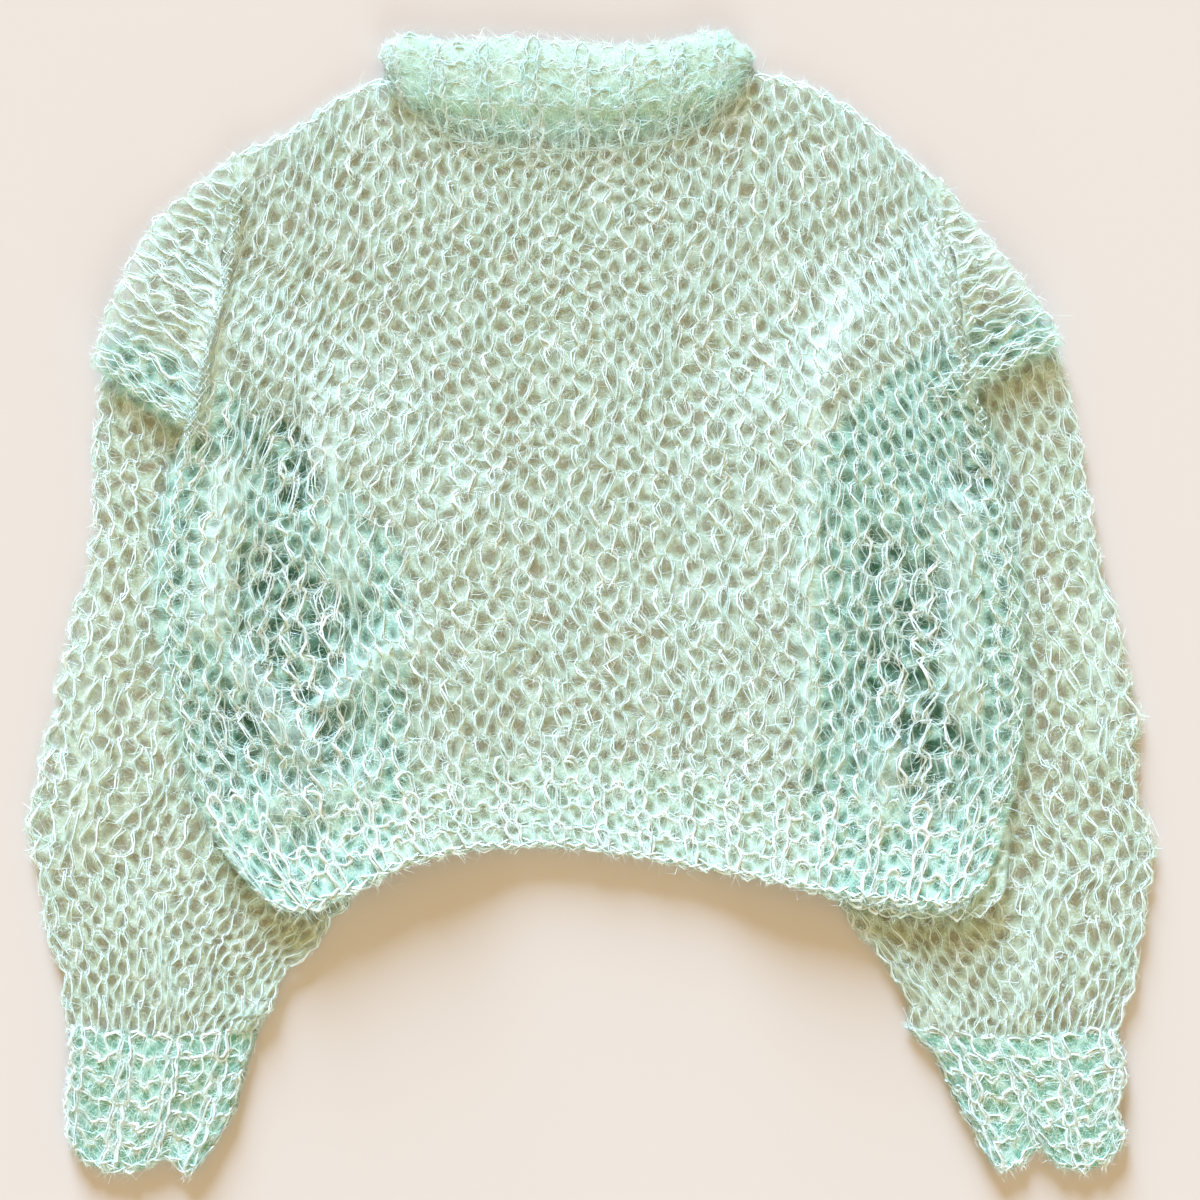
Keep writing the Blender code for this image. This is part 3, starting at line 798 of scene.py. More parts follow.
def hair_mesh(cloth, stitch, kind, count, seed):
    """Loose hairs that spring from the yarn."""
    draw = np.random.default_rng(seed)
    mesh = repeated(hair_shape(kind.segments), (count, (0, 0, 0), False))
    unit = coordinates(mesh)
    each = len(unit) // count
    hair = np.arange(len(unit)) // each
    stop = unit[:, 0] + 0.5
    side = np.sign(np.round(unit[:, 1], 3))
    t = draw.uniform(0.0, FULL_TURN * stitch.columns, count)
    knotted = draw.random(count) < KNOT_SHARE
    knot = (np.floor(t / math.pi) + 0.25 + 0.5 * draw.integers(0, 2, count)) * math.pi
    t = np.where(knotted, knot + draw.normal(0.0, KNOT_SPREAD, count), t)
    across, up, lift = stitch.path(t)
    ahead_across, ahead_up, _ = stitch.path(t + 0.01)
    tangent = np.arctan2((ahead_up - up) * stitch.course, (ahead_across - across) * stitch.wale)
    column = draw.integers(0, cloth.wales // stitch.columns, count)
    if cloth.closed:
        half = cloth.wales // stitch.columns // 2
        column = np.where(draw.random(count) < TOP_SHARE, column % half, column)
    across = across + stitch.columns * column
    up = up + draw.integers(0, cloth.courses, count)
    across, up = fringe_places(cloth, across, up, draw, kind.fringe)
    reach = kind.length * draw.lognormal(0.0, LENGTH_SPREAD, count)
    heading = tangent + math.pi * draw.integers(0, 2, count) + draw.normal(0.0, kind.spread, count)
    bend = draw.normal(0.0, kind.bend, count)
    climb = draw.normal(kind.climb, CLIMB_SPREAD, count)
    roll = draw.uniform(-MOST_ROLL, MOST_ROLL, count)
    half = 0.5 * kind.width * draw.uniform(*WIDTH_RANGE, count)
    start_x, start_y = draw.normal(0.0, kind.scatter, (2, count))
    turned = heading[hair] + bend[hair] * stop
    along_x = np.cos(turned) * reach[hair] * stop
    along_y = np.sin(turned) * reach[hair] * stop
    broad = side * half[hair] * (1.0 - 0.5 * stop)
    x = start_x[hair] + along_x - np.sin(turned) * broad * np.cos(roll[hair])
    y = start_y[hair] + along_y + np.cos(turned) * broad * np.cos(roll[hair])
    z = lift[hair] + np.minimum(climb[hair] * reach[hair], HAIR_TOP) * stop + broad * np.sin(roll[hair])
    u = across[hair] + x / stitch.wale
    v = up[hair] + y / stitch.course
    set_coordinates(mesh, cloth.at(u, v, z))
    if cloth.limit is not None:
        cut_mesh(mesh, (up <= cloth.limit(np.clip(across / cloth.wales, 0, 1)))[hair])
    return mesh


def cord_mesh(cloth, stitch, edge, seed):
    """Strands plaited along an edge. Columns of edge: start, end, turns, swing, radius, lift."""
    start, end, turns, swing, radius, lift = edge
    gauge = np.array((stitch.wale, stitch.course))
    run = (np.array(end) - np.array(start)) * gauge
    length = float(np.hypot(*run))
    forward = run / length
    sideways = np.array((-forward[1], forward[0]))
    strands = []
    for number in range(CORD_STRANDS):
        mesh = grid_mesh("strand", turns * CORD_STEPS, CORD_SIDES)
        flat = coordinates(mesh)
        along = flat[:, 0] + 0.5
        turn = (flat[:, 1] + 0.5) * FULL_TURN
        angle = FULL_TURN * (turns * along + number / CORD_STRANDS)
        wander = smooth_noise(along * turns * 2, 3.0 * number + 0.0 * along, seed)
        off = swing * (np.sin(angle) + wander) + radius * np.cos(turn)
        rise = lift + CORD_RISE * swing * np.cos(2 * angle) + radius * np.sin(turn)
        spot = np.array(start) + (along[:, None] * run + off[:, None] * sideways) / gauge
        set_coordinates(mesh, cloth.at(spot[:, 0], spot[:, 1], rise))
        closed_up(mesh)
        strands.append(mesh)
    return strands


def closed_up(mesh):
    """Joins the seam of a tube, closes its ends and turns its faces outwards."""
    shape = opened(mesh)
    bmesh.ops.remove_doubles(shape, verts=shape.verts[:], dist=1e-6)
    bmesh.ops.holes_fill(shape, edges=shape.edges[:], sides=4)
    if shape.calc_volume(signed=True) < 0.0:
        bmesh.ops.reverse_faces(shape, faces=shape.faces[:])
    stored(shape, mesh)


def joined(meshes):
    """Several meshes as one, with what they hold on their points and corners."""
    if len(meshes) == 1:
        return meshes[0]
    things = [linked("part", mesh) for mesh in meshes]
    with bpy.context.temp_override(
        active_object=things[0], object=things[0], selected_objects=things,
        selected_editable_objects=things,
    ):
        bpy.ops.object.join()
    mesh = things[0].data
    bpy.data.objects.remove(things[0])
    return mesh


def add_piece(name, meshes, material):
    mesh = joined(meshes)
    mesh.name = name
    mesh.materials.clear()
    mesh.materials.append(material)
    mesh.shade_smooth()
    piece = linked(name, mesh)
    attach(piece, "root")
    return piece


# Sizes of the patterns in the materials, in bumps for each metre, and how far the fluff's holes are
# bent by them, in stitches
WARP_SCALE = 95.0
WARP_REACH = 0.5
SHADE_BLOTCH_SCALE = 75.0
FLUFF_FIBRES = 330.0
YARN_FIBRES = 900.0

# Distances from a hole's middle, in half widths of the hole: where its fluff thickens, where its rim
# turns into a strand's side, how much patches shift them, and what evened-out fluff tends to
FLUFF_RIM = (0.15, 1.05)
BESIDE_STRANDS = (0.8, 1.25)
PATCH_SHIFT = 1.2
EVEN_FLUFF = 0.75

# Where the painted shade in a hole's middle ends, and how much further out mint fluff has that. Columns:
# from, to
HOLE_SHADE = (0.2, 0.8)
MINT_SPREAD = (0.45, 0.35)

# Heights in millimetres over which a crest gets its painted highlight, and noise over which a hollow gets
# its painted shade
CREST_RANGE = (0.3, 2.6)
SHADE_BLOTCH_RANGE = (0.34, 0.52)

# Alphas: of the covered fluff's dark film of painted shade and of other fluff in a hollow, what a crest
# adds, and fibres in a hole and beside it
HOLLOW_SHADE_ALPHA = 0.9
OVER_SHADE_SHARE = 0.3
CREST_ALPHA = 0.25
FIBRE_ALPHAS = (0.14, 0.42)

# How pale the fluff is: beside a strand, less with mint, on a crest as a painted highlight, and on its
# fibres
BESIDE_PALE = 0.6
MINT_LESS_PALE = 0.35
CREST_HIGHLIGHT = 0.7
FIBRE_PALE = 0.6

# Patches of paler yarn and hairs: bumps for each metre, and noise over which they change
YARN_PATCHES = 90.0
HAIR_PATCHES = 60.0
PATCH_RANGE = (0.35, 0.65)


class Nodes:
    """Short names for building a node tree."""

    def __init__(self, tree):
        self.tree = tree

    def add(self, kind, **values):
        node = self.tree.nodes.new(kind)
        for name, value in values.items():
            setattr(node, name, value)
        return node

    def fill(self, socket, value):
        if isinstance(value, bpy.types.NodeSocket):
            self.tree.links.new(value, socket)
        else:
            socket.default_value = value

    def math(self, operation, first, second=0.0, clamp=False):
        node = self.add("ShaderNodeMath", operation=operation, use_clamp=clamp)
        self.fill(node.inputs[0], first)
        self.fill(node.inputs[1], second)
        return node.outputs[0]

    def between(self, value, low, high, start=0.0, end=1.0):
        node = self.add("ShaderNodeMapRange", interpolation_type="SMOOTHSTEP")
        for socket, number in zip(node.inputs, (value, low, high, start, end)):
            self.fill(socket, number)
        return node.outputs[0]

    def mix(self, factor, first, second):
        node = self.add("ShaderNodeMix", data_type="RGBA")
        self.fill(node.inputs[0], factor)
        self.fill(node.inputs[6], first)
        self.fill(node.inputs[7], second)
        return node.outputs[2]

    def noise(self, vector, scale, detail, output="Fac"):
        node = self.add("ShaderNodeTexNoise")
        self.fill(node.inputs["Vector"], vector)
        self.fill(node.inputs["Scale"], scale)
        self.fill(node.inputs["Detail"], detail)
        return node.outputs[output]

    def moved(self, vector, location):
        node = self.add("ShaderNodeMapping")
        self.fill(node.inputs["Vector"], vector)
        node.inputs["Location"].default_value = location
        return node.outputs["Vector"]

    def vectors(self, operation, first, second):
        node = self.add("ShaderNodeVectorMath", operation=operation)
        self.fill(node.inputs[0], first)
        self.fill(node.inputs["Scale" if operation == "SCALE" else 1], second)
        return node.outputs[0]

    def attribute(self, name):
        return self.add("ShaderNodeAttribute", attribute_name=name).outputs["Fac"]

    def place(self):
        return self.add("ShaderNodeTexCoord").outputs["Object"]


def new_group(name, inputs, outputs):
    """A shader node group with named sockets. Columns: kind, name."""
    group = bpy.data.node_groups.new(name, "ShaderNodeTree")
    for kind, label in inputs:
        group.interface.new_socket(label, in_out="INPUT", socket_type=kind)
    for kind, label in outputs:
        group.interface.new_socket(label, in_out="OUTPUT", socket_type=kind)
    nodes = Nodes(group)
    return group, nodes, nodes.add("NodeGroupInput"), nodes.add("NodeGroupOutput")


def open_cells_group():
    """Distance from the middle of the nearest hole of the knit, 1 where its edge is."""
    group, nodes, given, result = new_group(
        "open_cells",
        (
            ("NodeSocketVector", "Stitches"), ("NodeSocketFloat", "Half Width"),
            ("NodeSocketFloat", "Half Height"), ("NodeSocketFloat", "Shift Across"),
            ("NodeSocketFloat", "Shift Up"), ("NodeSocketFloat", "Level"),
        ),
        (("NodeSocketFloat", "Distance"),),
    )
    apart = nodes.add("ShaderNodeSeparateXYZ")
    nodes.fill(apart.inputs[0], given.outputs["Stitches"])
    found = []
    for second in (0.0, 1.0):
        metric = []
        for axis, shift, size in ((0, "Shift Across", "Half Width"), (1, "Shift Up", "Half Height")):
            centre = 0.0 if axis == 0 else given.outputs["Level"]
            offset = nodes.math("MULTIPLY", given.outputs[shift], second)
            value = nodes.math("SUBTRACT", nodes.math("SUBTRACT", apart.outputs[axis], centre), offset)
            wrapped = nodes.math("FRACT", value)
            from_middle = nodes.math("ABSOLUTE", nodes.math("SUBTRACT", wrapped, 0.5))
            metric.append(nodes.math("DIVIDE", from_middle, given.outputs[size]))
        squares = [nodes.math("POWER", value, 2.0) for value in metric]
        found.append(nodes.math("SQRT", nodes.math("ADD", *squares)))
    nodes.fill(result.inputs["Distance"], nodes.math("MINIMUM", *found))
    return group


def fibres_group():
    """Fine curling fibres: thin lines where smooth noise passes its middle value."""
    group, nodes, given, result = new_group(
        "fibres",
        (("NodeSocketVector", "Vector"), ("NodeSocketFloat", "Scale")),
        (("NodeSocketFloat", "Fibres"),),
    )
    found = None
    for shift, scale in (((0, 0, 0), 1.0), ((7.3, 2.1, 5.0), 1.9)):
        size = nodes.math("MULTIPLY", given.outputs["Scale"], scale)
        noise = nodes.noise(nodes.moved(given.outputs["Vector"], shift), size, 0.0)
        away = nodes.math("ABSOLUTE", nodes.math("SUBTRACT", noise, 0.5))
        line = nodes.between(away, 0.0, 0.035, 1.0, 0.0)
        found = line if found is None else nodes.math("MAXIMUM", found, line)
    nodes.fill(result.inputs["Fibres"], found)
    return group


def group_node(nodes, name, maker, **values):
    node = nodes.add("ShaderNodeGroup", node_tree=bpy.data.node_groups.get(name) or maker())
    for label, value in values.items():
        nodes.fill(node.inputs[label.replace("_", " ")], value)
    return node


def fibres_node(nodes, place, scale):
    return group_node(nodes, "fibres", fibres_group, Vector=place, Scale=scale).outputs["Fibres"]


def new_material(name, roughness, sheen):
    material = bpy.data.materials.new(name)
    material.use_nodes = True
    nodes = Nodes(material.node_tree)
    shader = material.node_tree.nodes["Principled BSDF"]
    shader.inputs["Roughness"].default_value = roughness
    shader.inputs["Specular IOR Level"].default_value = 0.15
    shader.inputs["Sheen Weight"].default_value = sheen
    shader.inputs["Sheen Roughness"].default_value = 0.5
    return material, nodes, shader


def haze_material(name, cells, settings, mint=0.0, covered=False, contrast=1.0):
    """Fluff between the strands. Columns of cells: half width, half height, shifts, level, alphas.

    Where layers overlap, or all over with mint at 1, it has the colour of many layers. Covered fluff
    is painted olive as shade, and in the hollows painted dark green and dense as shade, and the fluff
    over it thins out there. The middles of the holes are painted darker as shade, and crests paler
    as a painted highlight.
    """
    material, nodes, shader = new_material(name, 0.95, 0.1)
    half_width, half_height, shift_across, shift_up, level, thin, thick = cells
    stitches = nodes.add("ShaderNodeUVMap", uv_map="stitches").outputs["UV"]
    place = nodes.place()
    uneven_place = nodes.noise(place, WARP_SCALE, 0.0, "Color")
    centred = nodes.vectors("SUBTRACT", uneven_place, (0.5, 0.5, 0.5))
    warped = nodes.vectors("ADD", stitches, nodes.vectors("SCALE", centred, WARP_REACH))
    cell = group_node(
        nodes, "open_cells", open_cells_group, Stitches=warped, Half_Width=half_width,
        Half_Height=half_height, Shift_Across=shift_across, Shift_Up=shift_up, Level=level,
    )
    apart = nodes.add("ShaderNodeSeparateXYZ")
    nodes.fill(apart.inputs[0], centred)
    patches = nodes.math("MULTIPLY", apart.outputs[2], PATCH_SHIFT)
    uneven = nodes.math("ADD", cell.outputs["Distance"], patches)
    if contrast < 1.0:
        uneven = nodes.math("MULTIPLY", nodes.math("SUBTRACT", uneven, EVEN_FLUFF), contrast)
        uneven = nodes.math("ADD", uneven, EVEN_FLUFF)
    beside = nodes.between(uneven, *BESIDE_STRANDS)
    fibres = fibres_node(nodes, place, FLUFF_FIBRES)
    layered = nodes.math("MAXIMUM", nodes.attribute("layered"), mint)
    raised = nodes.between(nodes.attribute("raised"), *CREST_RANGE)
    shade_blotches = nodes.between(nodes.noise(place, SHADE_BLOTCH_SCALE, 1.0), *SHADE_BLOTCH_RANGE)
    # Painted shade: mask of the dark film in the hollows, in noisy patches
    hollow_shade = nodes.math("MULTIPLY", nodes.between(nodes.attribute("hollow"), 0.0, 1.0), shade_blotches)
    fluff = nodes.between(uneven, *FLUFF_RIM, thin, thick)
    if covered:
        fluff = nodes.between(hollow_shade, 0.0, 1.0, fluff, HOLLOW_SHADE_ALPHA)
    else:
        fluff = nodes.math("MULTIPLY", fluff, nodes.between(hollow_shade, 0.0, 1.0, 1.0, OVER_SHADE_SHARE))
    fluff = nodes.math("ADD", fluff, nodes.math("MULTIPLY", raised, CREST_ALPHA))
    fibre_alpha = nodes.between(uneven, *BESIDE_STRANDS, *FIBRE_ALPHAS)
    lines = nodes.math("MULTIPLY", fibres, fibre_alpha)
    alpha = nodes.math("ADD", fluff, lines, clamp=True)
    alpha = nodes.math("MULTIPLY", alpha, nodes.between(nodes.attribute("inside"), 0.0, 1.0))
    nodes.fill(shader.inputs["Alpha"], alpha)
    # Painted shade: the middles of the holes are dark olive, and dark emerald where layers overlap
    inner = nodes.mix(layered, settings.haze_hole_shade, settings.haze_emerald_hole_shade)
    # Painted shade: the covered layers, the sleeves and the back, get olive fluff, the colour mint fluff
    # takes in shade
    few_layers = settings.haze_olive_shade if covered else settings.haze_pale
    outer = nodes.mix(layered, few_layers, settings.haze_mint)
    hole_shade_range = [start + spread * mint for start, spread in zip(HOLE_SHADE, MINT_SPREAD)]
    colour = nodes.mix(nodes.between(uneven, *hole_shade_range), inner, outer)
    whitened = nodes.math("MULTIPLY", beside, BESIDE_PALE - MINT_LESS_PALE * mint)
    # Painted highlight: the fluff on the crests of the folds is made paler
    pale = nodes.math("MAXIMUM", whitened, nodes.math("MULTIPLY", raised, CREST_HIGHLIGHT))
    colour = nodes.mix(pale, colour, settings.haze_light)
    colour = nodes.mix(nodes.math("MULTIPLY", fibres, FIBRE_PALE), colour, settings.yarn_pale)
    if covered:
        # Painted shade: the covered layers go dark green in the hollows
        colour = nodes.mix(hollow_shade, colour, settings.haze_hollow_shade)
    nodes.fill(shader.inputs["Base Color"], colour)
    return material


def yarn_material(name, mint, pale):
    material, nodes, shader = new_material(name, 0.7, 0.35)
    place = nodes.place()
    patches = nodes.noise(place, YARN_PATCHES, 3.0)
    colour = nodes.mix(nodes.between(patches, *PATCH_RANGE), mint, pale)
    nodes.fill(shader.inputs["Base Color"], colour)
    fibres = fibres_node(nodes, place, YARN_FIBRES)
    bump = nodes.add("ShaderNodeBump")
    bump.inputs["Strength"].default_value = 0.5
    bump.inputs["Distance"].default_value = 0.0003
    nodes.fill(bump.inputs["Height"], fibres)
    nodes.fill(shader.inputs["Normal"], bump.outputs["Normal"])
    return material


def hair_material(name, settings):
    material, nodes, shader = new_material(name, 0.8, 0.3)
    place = nodes.place()
    patches = nodes.noise(place, HAIR_PATCHES, 2.0)
    colour = nodes.mix(nodes.between(patches, *PATCH_RANGE), settings.haze_light, settings.yarn_pale)
    nodes.fill(shader.inputs["Base Color"], colour)
    return material


# Holes of each knit, in wales and courses. Columns: half width, half height, shift of the second
# set across and up, level of the first, alpha in the middle and alpha of the rim
STOCKING_CELLS = (0.32, 0.44, 0.5, 0.45, 0.20, 0.16, 0.60)
RIB_CELLS = (0.29, 0.38, 0.5, 0.45, 0.20, 0.40, 0.78)
CUFF_CELLS = (0.33, 0.42, 0.5, 0.45, 0.20, 0.88, 0.84)
BAND_CELLS = (0.34, 0.44, 0.5, 0.45, 0.20, 0.56, 0.90)


def finish_named(name):
    """The material of this name, made when it is first asked for."""
    settings = bpy.context.scene.pullover_yarn
    makers = {
        "stocking_haze": lambda: haze_material("stocking_haze", STOCKING_CELLS, settings),
        "covered_haze": lambda: haze_material("covered_haze", STOCKING_CELLS, settings, covered=True),
        "rib_haze": lambda: haze_material("rib_haze", RIB_CELLS, settings, mint=0.35, contrast=0.9),
        "cuff_haze": lambda: haze_material("cuff_haze", CUFF_CELLS, settings, mint=1.0),
        "band_haze": lambda: haze_material("band_haze", BAND_CELLS, settings, mint=0.2, contrast=0.3),
        "mohair_yarn": lambda: yarn_material("mohair_yarn", settings.yarn_mint, settings.yarn_pale),
        # Painted light: a bluer copy of the yarn for the neckband, whose strands lie in the band's own
        # shade
        "band_yarn": lambda: yarn_material("band_yarn", settings.yarn_band_painted_light, settings.yarn_mint),
        "mohair_hair": lambda: hair_material("mohair_hair", settings),
    }
    return bpy.data.materials.get(name) or makers[name]()


# Strands of yarn. Columns: radius in millimetres, sides, steps in a stitch, wander in millimetres
CORE = (0.62, 3, 12, 1.4)
PLY = (0.42, 3, 10, 2.5)
WISP = (0.30, 3, 9, 3.6)
SHOWN = (CORE, PLY, WISP)
SLEEVE_STRANDS = ((0.62, 3, 11, 1.5), (0.42, 3, 9, 2.8))
BACK_STRANDS = ((0.66, 3, 10, 1.5),)
RIB_CORE = (0.95, 3, 12, 1.8)
RIB_PLY = (0.72, 3, 10, 2.6)
RIB_WISP = (0.52, 3, 9, 3.4)
RIB_SHOWN = (RIB_CORE, RIB_PLY, RIB_WISP)
RIB_COVERED = (RIB_CORE,)
BAND_STRANDS = ((0.60, 3, 10, 2.4), (0.40, 3, 9, 3.8))


def knit_piece(
    node, cloths, knit, strands, share, edges=(), haze_name=None, lift=0.0, fade=HAZE_MARGIN,
    yarn_name="mohair_yarn",
):
    """The haze, yarn and hairs that stand for one solid.

    cloths are the maps of its parts, share is its part of all the hairs, and edges are the
    plaited edges, each with the number of its map.
    """
    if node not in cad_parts:
        raise RuntimeError(f"the frame has no node {node}")
    settings = bpy.context.scene.pullover_yarn
    stitch = STOCKING if knit == "STOCKING" else RIB
    usual_haze = "stocking_haze" if knit == "STOCKING" else "rib_haze"
    haze = add_piece(
        node + "_haze", [haze_mesh(cloth, lift, fade) for cloth in cloths],
        finish_named(haze_name or usual_haze),
    )
    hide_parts(node)
    meshes = []
    for cloth in cloths:
        for number, strand in enumerate(strands):
            meshes.append(yarn_mesh(cloth, stitch, strand, cloth.seed + 10 + 7 * number))
    for number, edge in edges:
        meshes += cord_mesh(cloths[number], stitch, edge, cloths[number].seed + 40)
    yarn = add_piece(node + "_yarn", meshes, finish_named(yarn_name))
    total = sum(cloth.wales * cloth.courses for cloth in cloths)
    long_hairs = Hairs(LONG_HAIR, settings.hair_length, settings.hair_width)
    fuzz = Hairs(FUZZ, settings.fuzz_length, settings.hair_width)
    kinds = ((long_hairs, settings.hair_count), (fuzz, settings.fuzz_count))
    fluff = []
    for cloth in cloths:
        part = share * cloth.wales * cloth.courses / total
        for number, (kind, count) in enumerate(kinds):
            fluff.append(hair_mesh(cloth, stitch, kind, int(count * part), cloth.seed + 50 + number))
    hair = add_piece(node + "_hair", fluff, finish_named("mohair_hair"))


def body_plan():
    """The body between its two ridges, seen from above, from the hem's seam to shoulders and neck."""
    top = chain(
        (curve(SHOULDER_LEFT), length_of(SHOULDER_LEFT)),
        (neckline(BACK_NECK_DIP), NECK_WIDTH),
        (curve(SHOULDER_RIGHT), length_of(SHOULDER_RIGHT)),
    )
    return patch(
        curve(HEM_SEAM), top, table_chain(SIDE_LEFT, RIDGE_LEFT), table_chain(SIDE_RIGHT, RIDGE_RIGHT)
    )


def drawn_to_neck(a, b, x, y):
    """The front's place up, drawn down towards its lower neckline."""
    left = length_of(SHOULDER_LEFT)
    total = left + NECK_WIDTH + length_of(SHOULDER_RIGHT)
    share = np.clip((a * total - left) / NECK_WIDTH, 0.0, 1.0)
    return y - neck_drop(share, FRONT_NECK_DIP - BACK_NECK_DIP) * b**NECK_DIP_FADE


def layer_heights(x, y, front):
    """Heights of the middle of the back or the front, with the folds that the front has."""
    lifted = ridges(BODY_CREASES, x, y)[0]
    _, pull_x, pull_y = ridges(BODY_FOLDS + BODY_HOLLOWS, x, y)
    level = DRAPE.at(x, y) + WALL / 2.0
    if not front:
        return x, y, level
    return x + pull_x, y + pull_y, level + WALL + PANEL_GAP + lifted


def body_cloth(front):
    plan = body_plan()

    def place(a, b):
        x, y = np.moveaxis(plan(a, b), -1, 0)
        if front:
            y = drawn_to_neck(a, b, x, y)
        return np.stack(layer_heights(x, y, front), axis=-1)

    return Cloth(BODY_WALES, BODY_COURSES, place, seed=100 if front else 200)


def wing_cloth(side, front):
    """The shoulder outside the ridge: courses run along its edge, and wales in towards the ridge."""
    edge_table, armhole, ridge_table = WINGS[side]
    edge, ridge = curve(edge_table), curve(ridge_table)
    inward = np.array(armhole[0], float) - np.array(armhole[-1], float)
    inward /= np.linalg.norm(inward)
    wales = round(length_of(edge_table) / STOCKING.wale)
    ridge_points = ridge(np.linspace(0.0, 1.0, 200))

    def limit(a):
        """Courses from the edge to the ridge."""
        start = edge(a)
        sideways = np.array((-inward[1], inward[0]))
        across_line = (ridge_points[None] - start[:, None]) @ sideways
        nearest = np.abs(across_line).argmin(axis=1)
        distance = ((ridge_points[nearest] - start) @ inward) / STOCKING.course
        return np.clip(distance, 0.02, WING_COURSES)

    def place(a, b):
        spot = edge(a) + (b * WING_COURSES * STOCKING.course)[..., None] * inward
        x, y = np.moveaxis(spot, -1, 0)
        return np.stack(layer_heights(x, y, front), axis=-1)

    seed = (300 if front else 400) + (50 if side == "right" else 0)
    return Cloth(wales, WING_COURSES, place, seed=seed, drift=3.5, jitter=5.0, limit=limit)


def hem_cloth(front):
    plan = patch(curve(HEM_EDGE), curve(HEM_SEAM), curve(HEM_LEFT), curve(HEM_RIGHT))

    def place(a, b):
        x, y = np.moveaxis(plan(a, b), -1, 0)
        if not front:
            below = 1.0 - b
            x = x + BACK_HEM_ACROSS * below * smooth_step((a - BACK_HEM_ACROSS_FROM) / BACK_HEM_FADE)
            y = y - BACK_HEM_DOWN * below * smooth_step((a - BACK_HEM_DOWN_FROM) / BACK_HEM_FADE)
        x, y, z = layer_heights(x, y, front)
        return np.stack([x, y, z + HEM_LIFT * (1.0 - b) ** 2], axis=-1)

    return Cloth(HEM_COLUMNS, HEM_ROWS, place, seed=500 if front else 550, drift=1.5, jitter=1.4)


def ring(a):
    """Share across, and side from 1 on top to -1 underneath, round a flattened tube."""
    turn = np.mod(a, 1.0) * 2.0
    across = np.where(turn <= 1.0, turn, 2.0 - turn)
    from_fold = np.clip(np.minimum(across, 1.0 - across) / FOLD_ROUNDING, 0.0, 1.0)
    side = np.sqrt(1.0 - (1.0 - from_fold) ** 2)
    return across, np.where(turn <= 1.0, side, -side)


def tube_cloth(side, edges, wales, courses, folds, raised, seed, **wander):
    """A flattened tube. Its edges are those where it starts and ends, then the outer and inner one."""
    plan = patch(*[curve(SLEEVES[side][edge]) for edge in edges])

    def place(a, b):
        across, over = ring(a)
        x, y = np.moveaxis(plan(across, b), -1, 0)
        lifted, pull_x, pull_y = ridges(folds, x, y)
        top = np.clip(over, 0.0, 1.0)
        z = SLEEVE_THICKNESS / 2.0 + SLEEVE_LAYER * over + (lifted + raised) * top
        return np.stack([x + pull_x * top, y + pull_y * top, z], axis=-1)

    return Cloth(2 * wales, courses, place, closed=True, seed=seed, folds=folds, **wander)


def sleeve_cloth(side):
    edges = ("armhole", "cuff_seam", "outer", "inner")
    seed = 600 if side == "left" else 700
    return tube_cloth(side, edges, SLEEVE_WALES, SLEEVE_COURSES, SLEEVE_FOLDS, 0.0, seed)


def cuff_cloth(side):
    edges = ("cuff_seam", "cuff_end", "cuff_outer", "cuff_inner")
    seed = 800 if side == "left" else 850
    return tube_cloth(
        side, edges, CUFF_COLUMNS, CUFF_ROWS, CUFF_VALLEYS, CUFF_LIFT, seed, drift=1.5, jitter=1.8,
    )


def band_cloth():
    band_edge = curve(BAND_EDGE)
    front_neck = neckline(FRONT_NECK_DIP)
    back_neck = neckline(BACK_NECK_DIP)

    def place(a, b):
        across, over = ring(a)
        up = b[..., None]
        on_front = (1.0 - up) * front_neck(across) + up * band_edge(across)
        on_back = (1.0 - up) * back_neck(across) + up * band_edge(across)
        front = over >= 0.0
        spot = np.where(front[..., None], on_front, on_back)
        lowest = WALL + PANEL_GAP
        middle = BAND_WALL + BAND_HOLLOW
        past_back = (spot[..., 1] - back_neck(across)[..., 1] + BAND_OVERLAP) / BAND_OVERLAP
        under_front = lowest + (middle - lowest) * smooth_step(past_back)
        plump = BAND_WALL * (1.0 - BAND_THINNING * np.abs(2.0 * b - 1.0) ** 4)
        over_front = under_front + BAND_RISE * plump - middle
        z = middle + over * np.where(front, over_front, BAND_BELOW)
        return np.stack([spot[..., 0], spot[..., 1], z], axis=-1)

    def layers(v):
        """The band is mint at its seam and whiter towards its top edge."""
        return 1.0 - smooth_step(v / BAND_ROWS)

    return Cloth(
        2 * BAND_COLUMNS, BAND_ROWS, place, closed=True, seed=900, drift=2.0, jitter=2.2,
        folds=(), layers=layers,
    )


def colour_setting(name, description, value):
    return bpy.props.FloatVectorProperty(
        name=name, description=description, subtype="COLOR", size=len(value), default=value,
        min=0.0, max=1.0,
    )


def number_setting(name, description, value, low=0.0, unit="NONE"):
    return bpy.props.FloatProperty(
        name=name, description=description, default=value, min=low, unit=unit,
    )


def angle_setting(name, description, degrees):
    return bpy.props.FloatProperty(
        name=name, description=description, default=math.radians(degrees), min=0.0, subtype="ANGLE",
    )


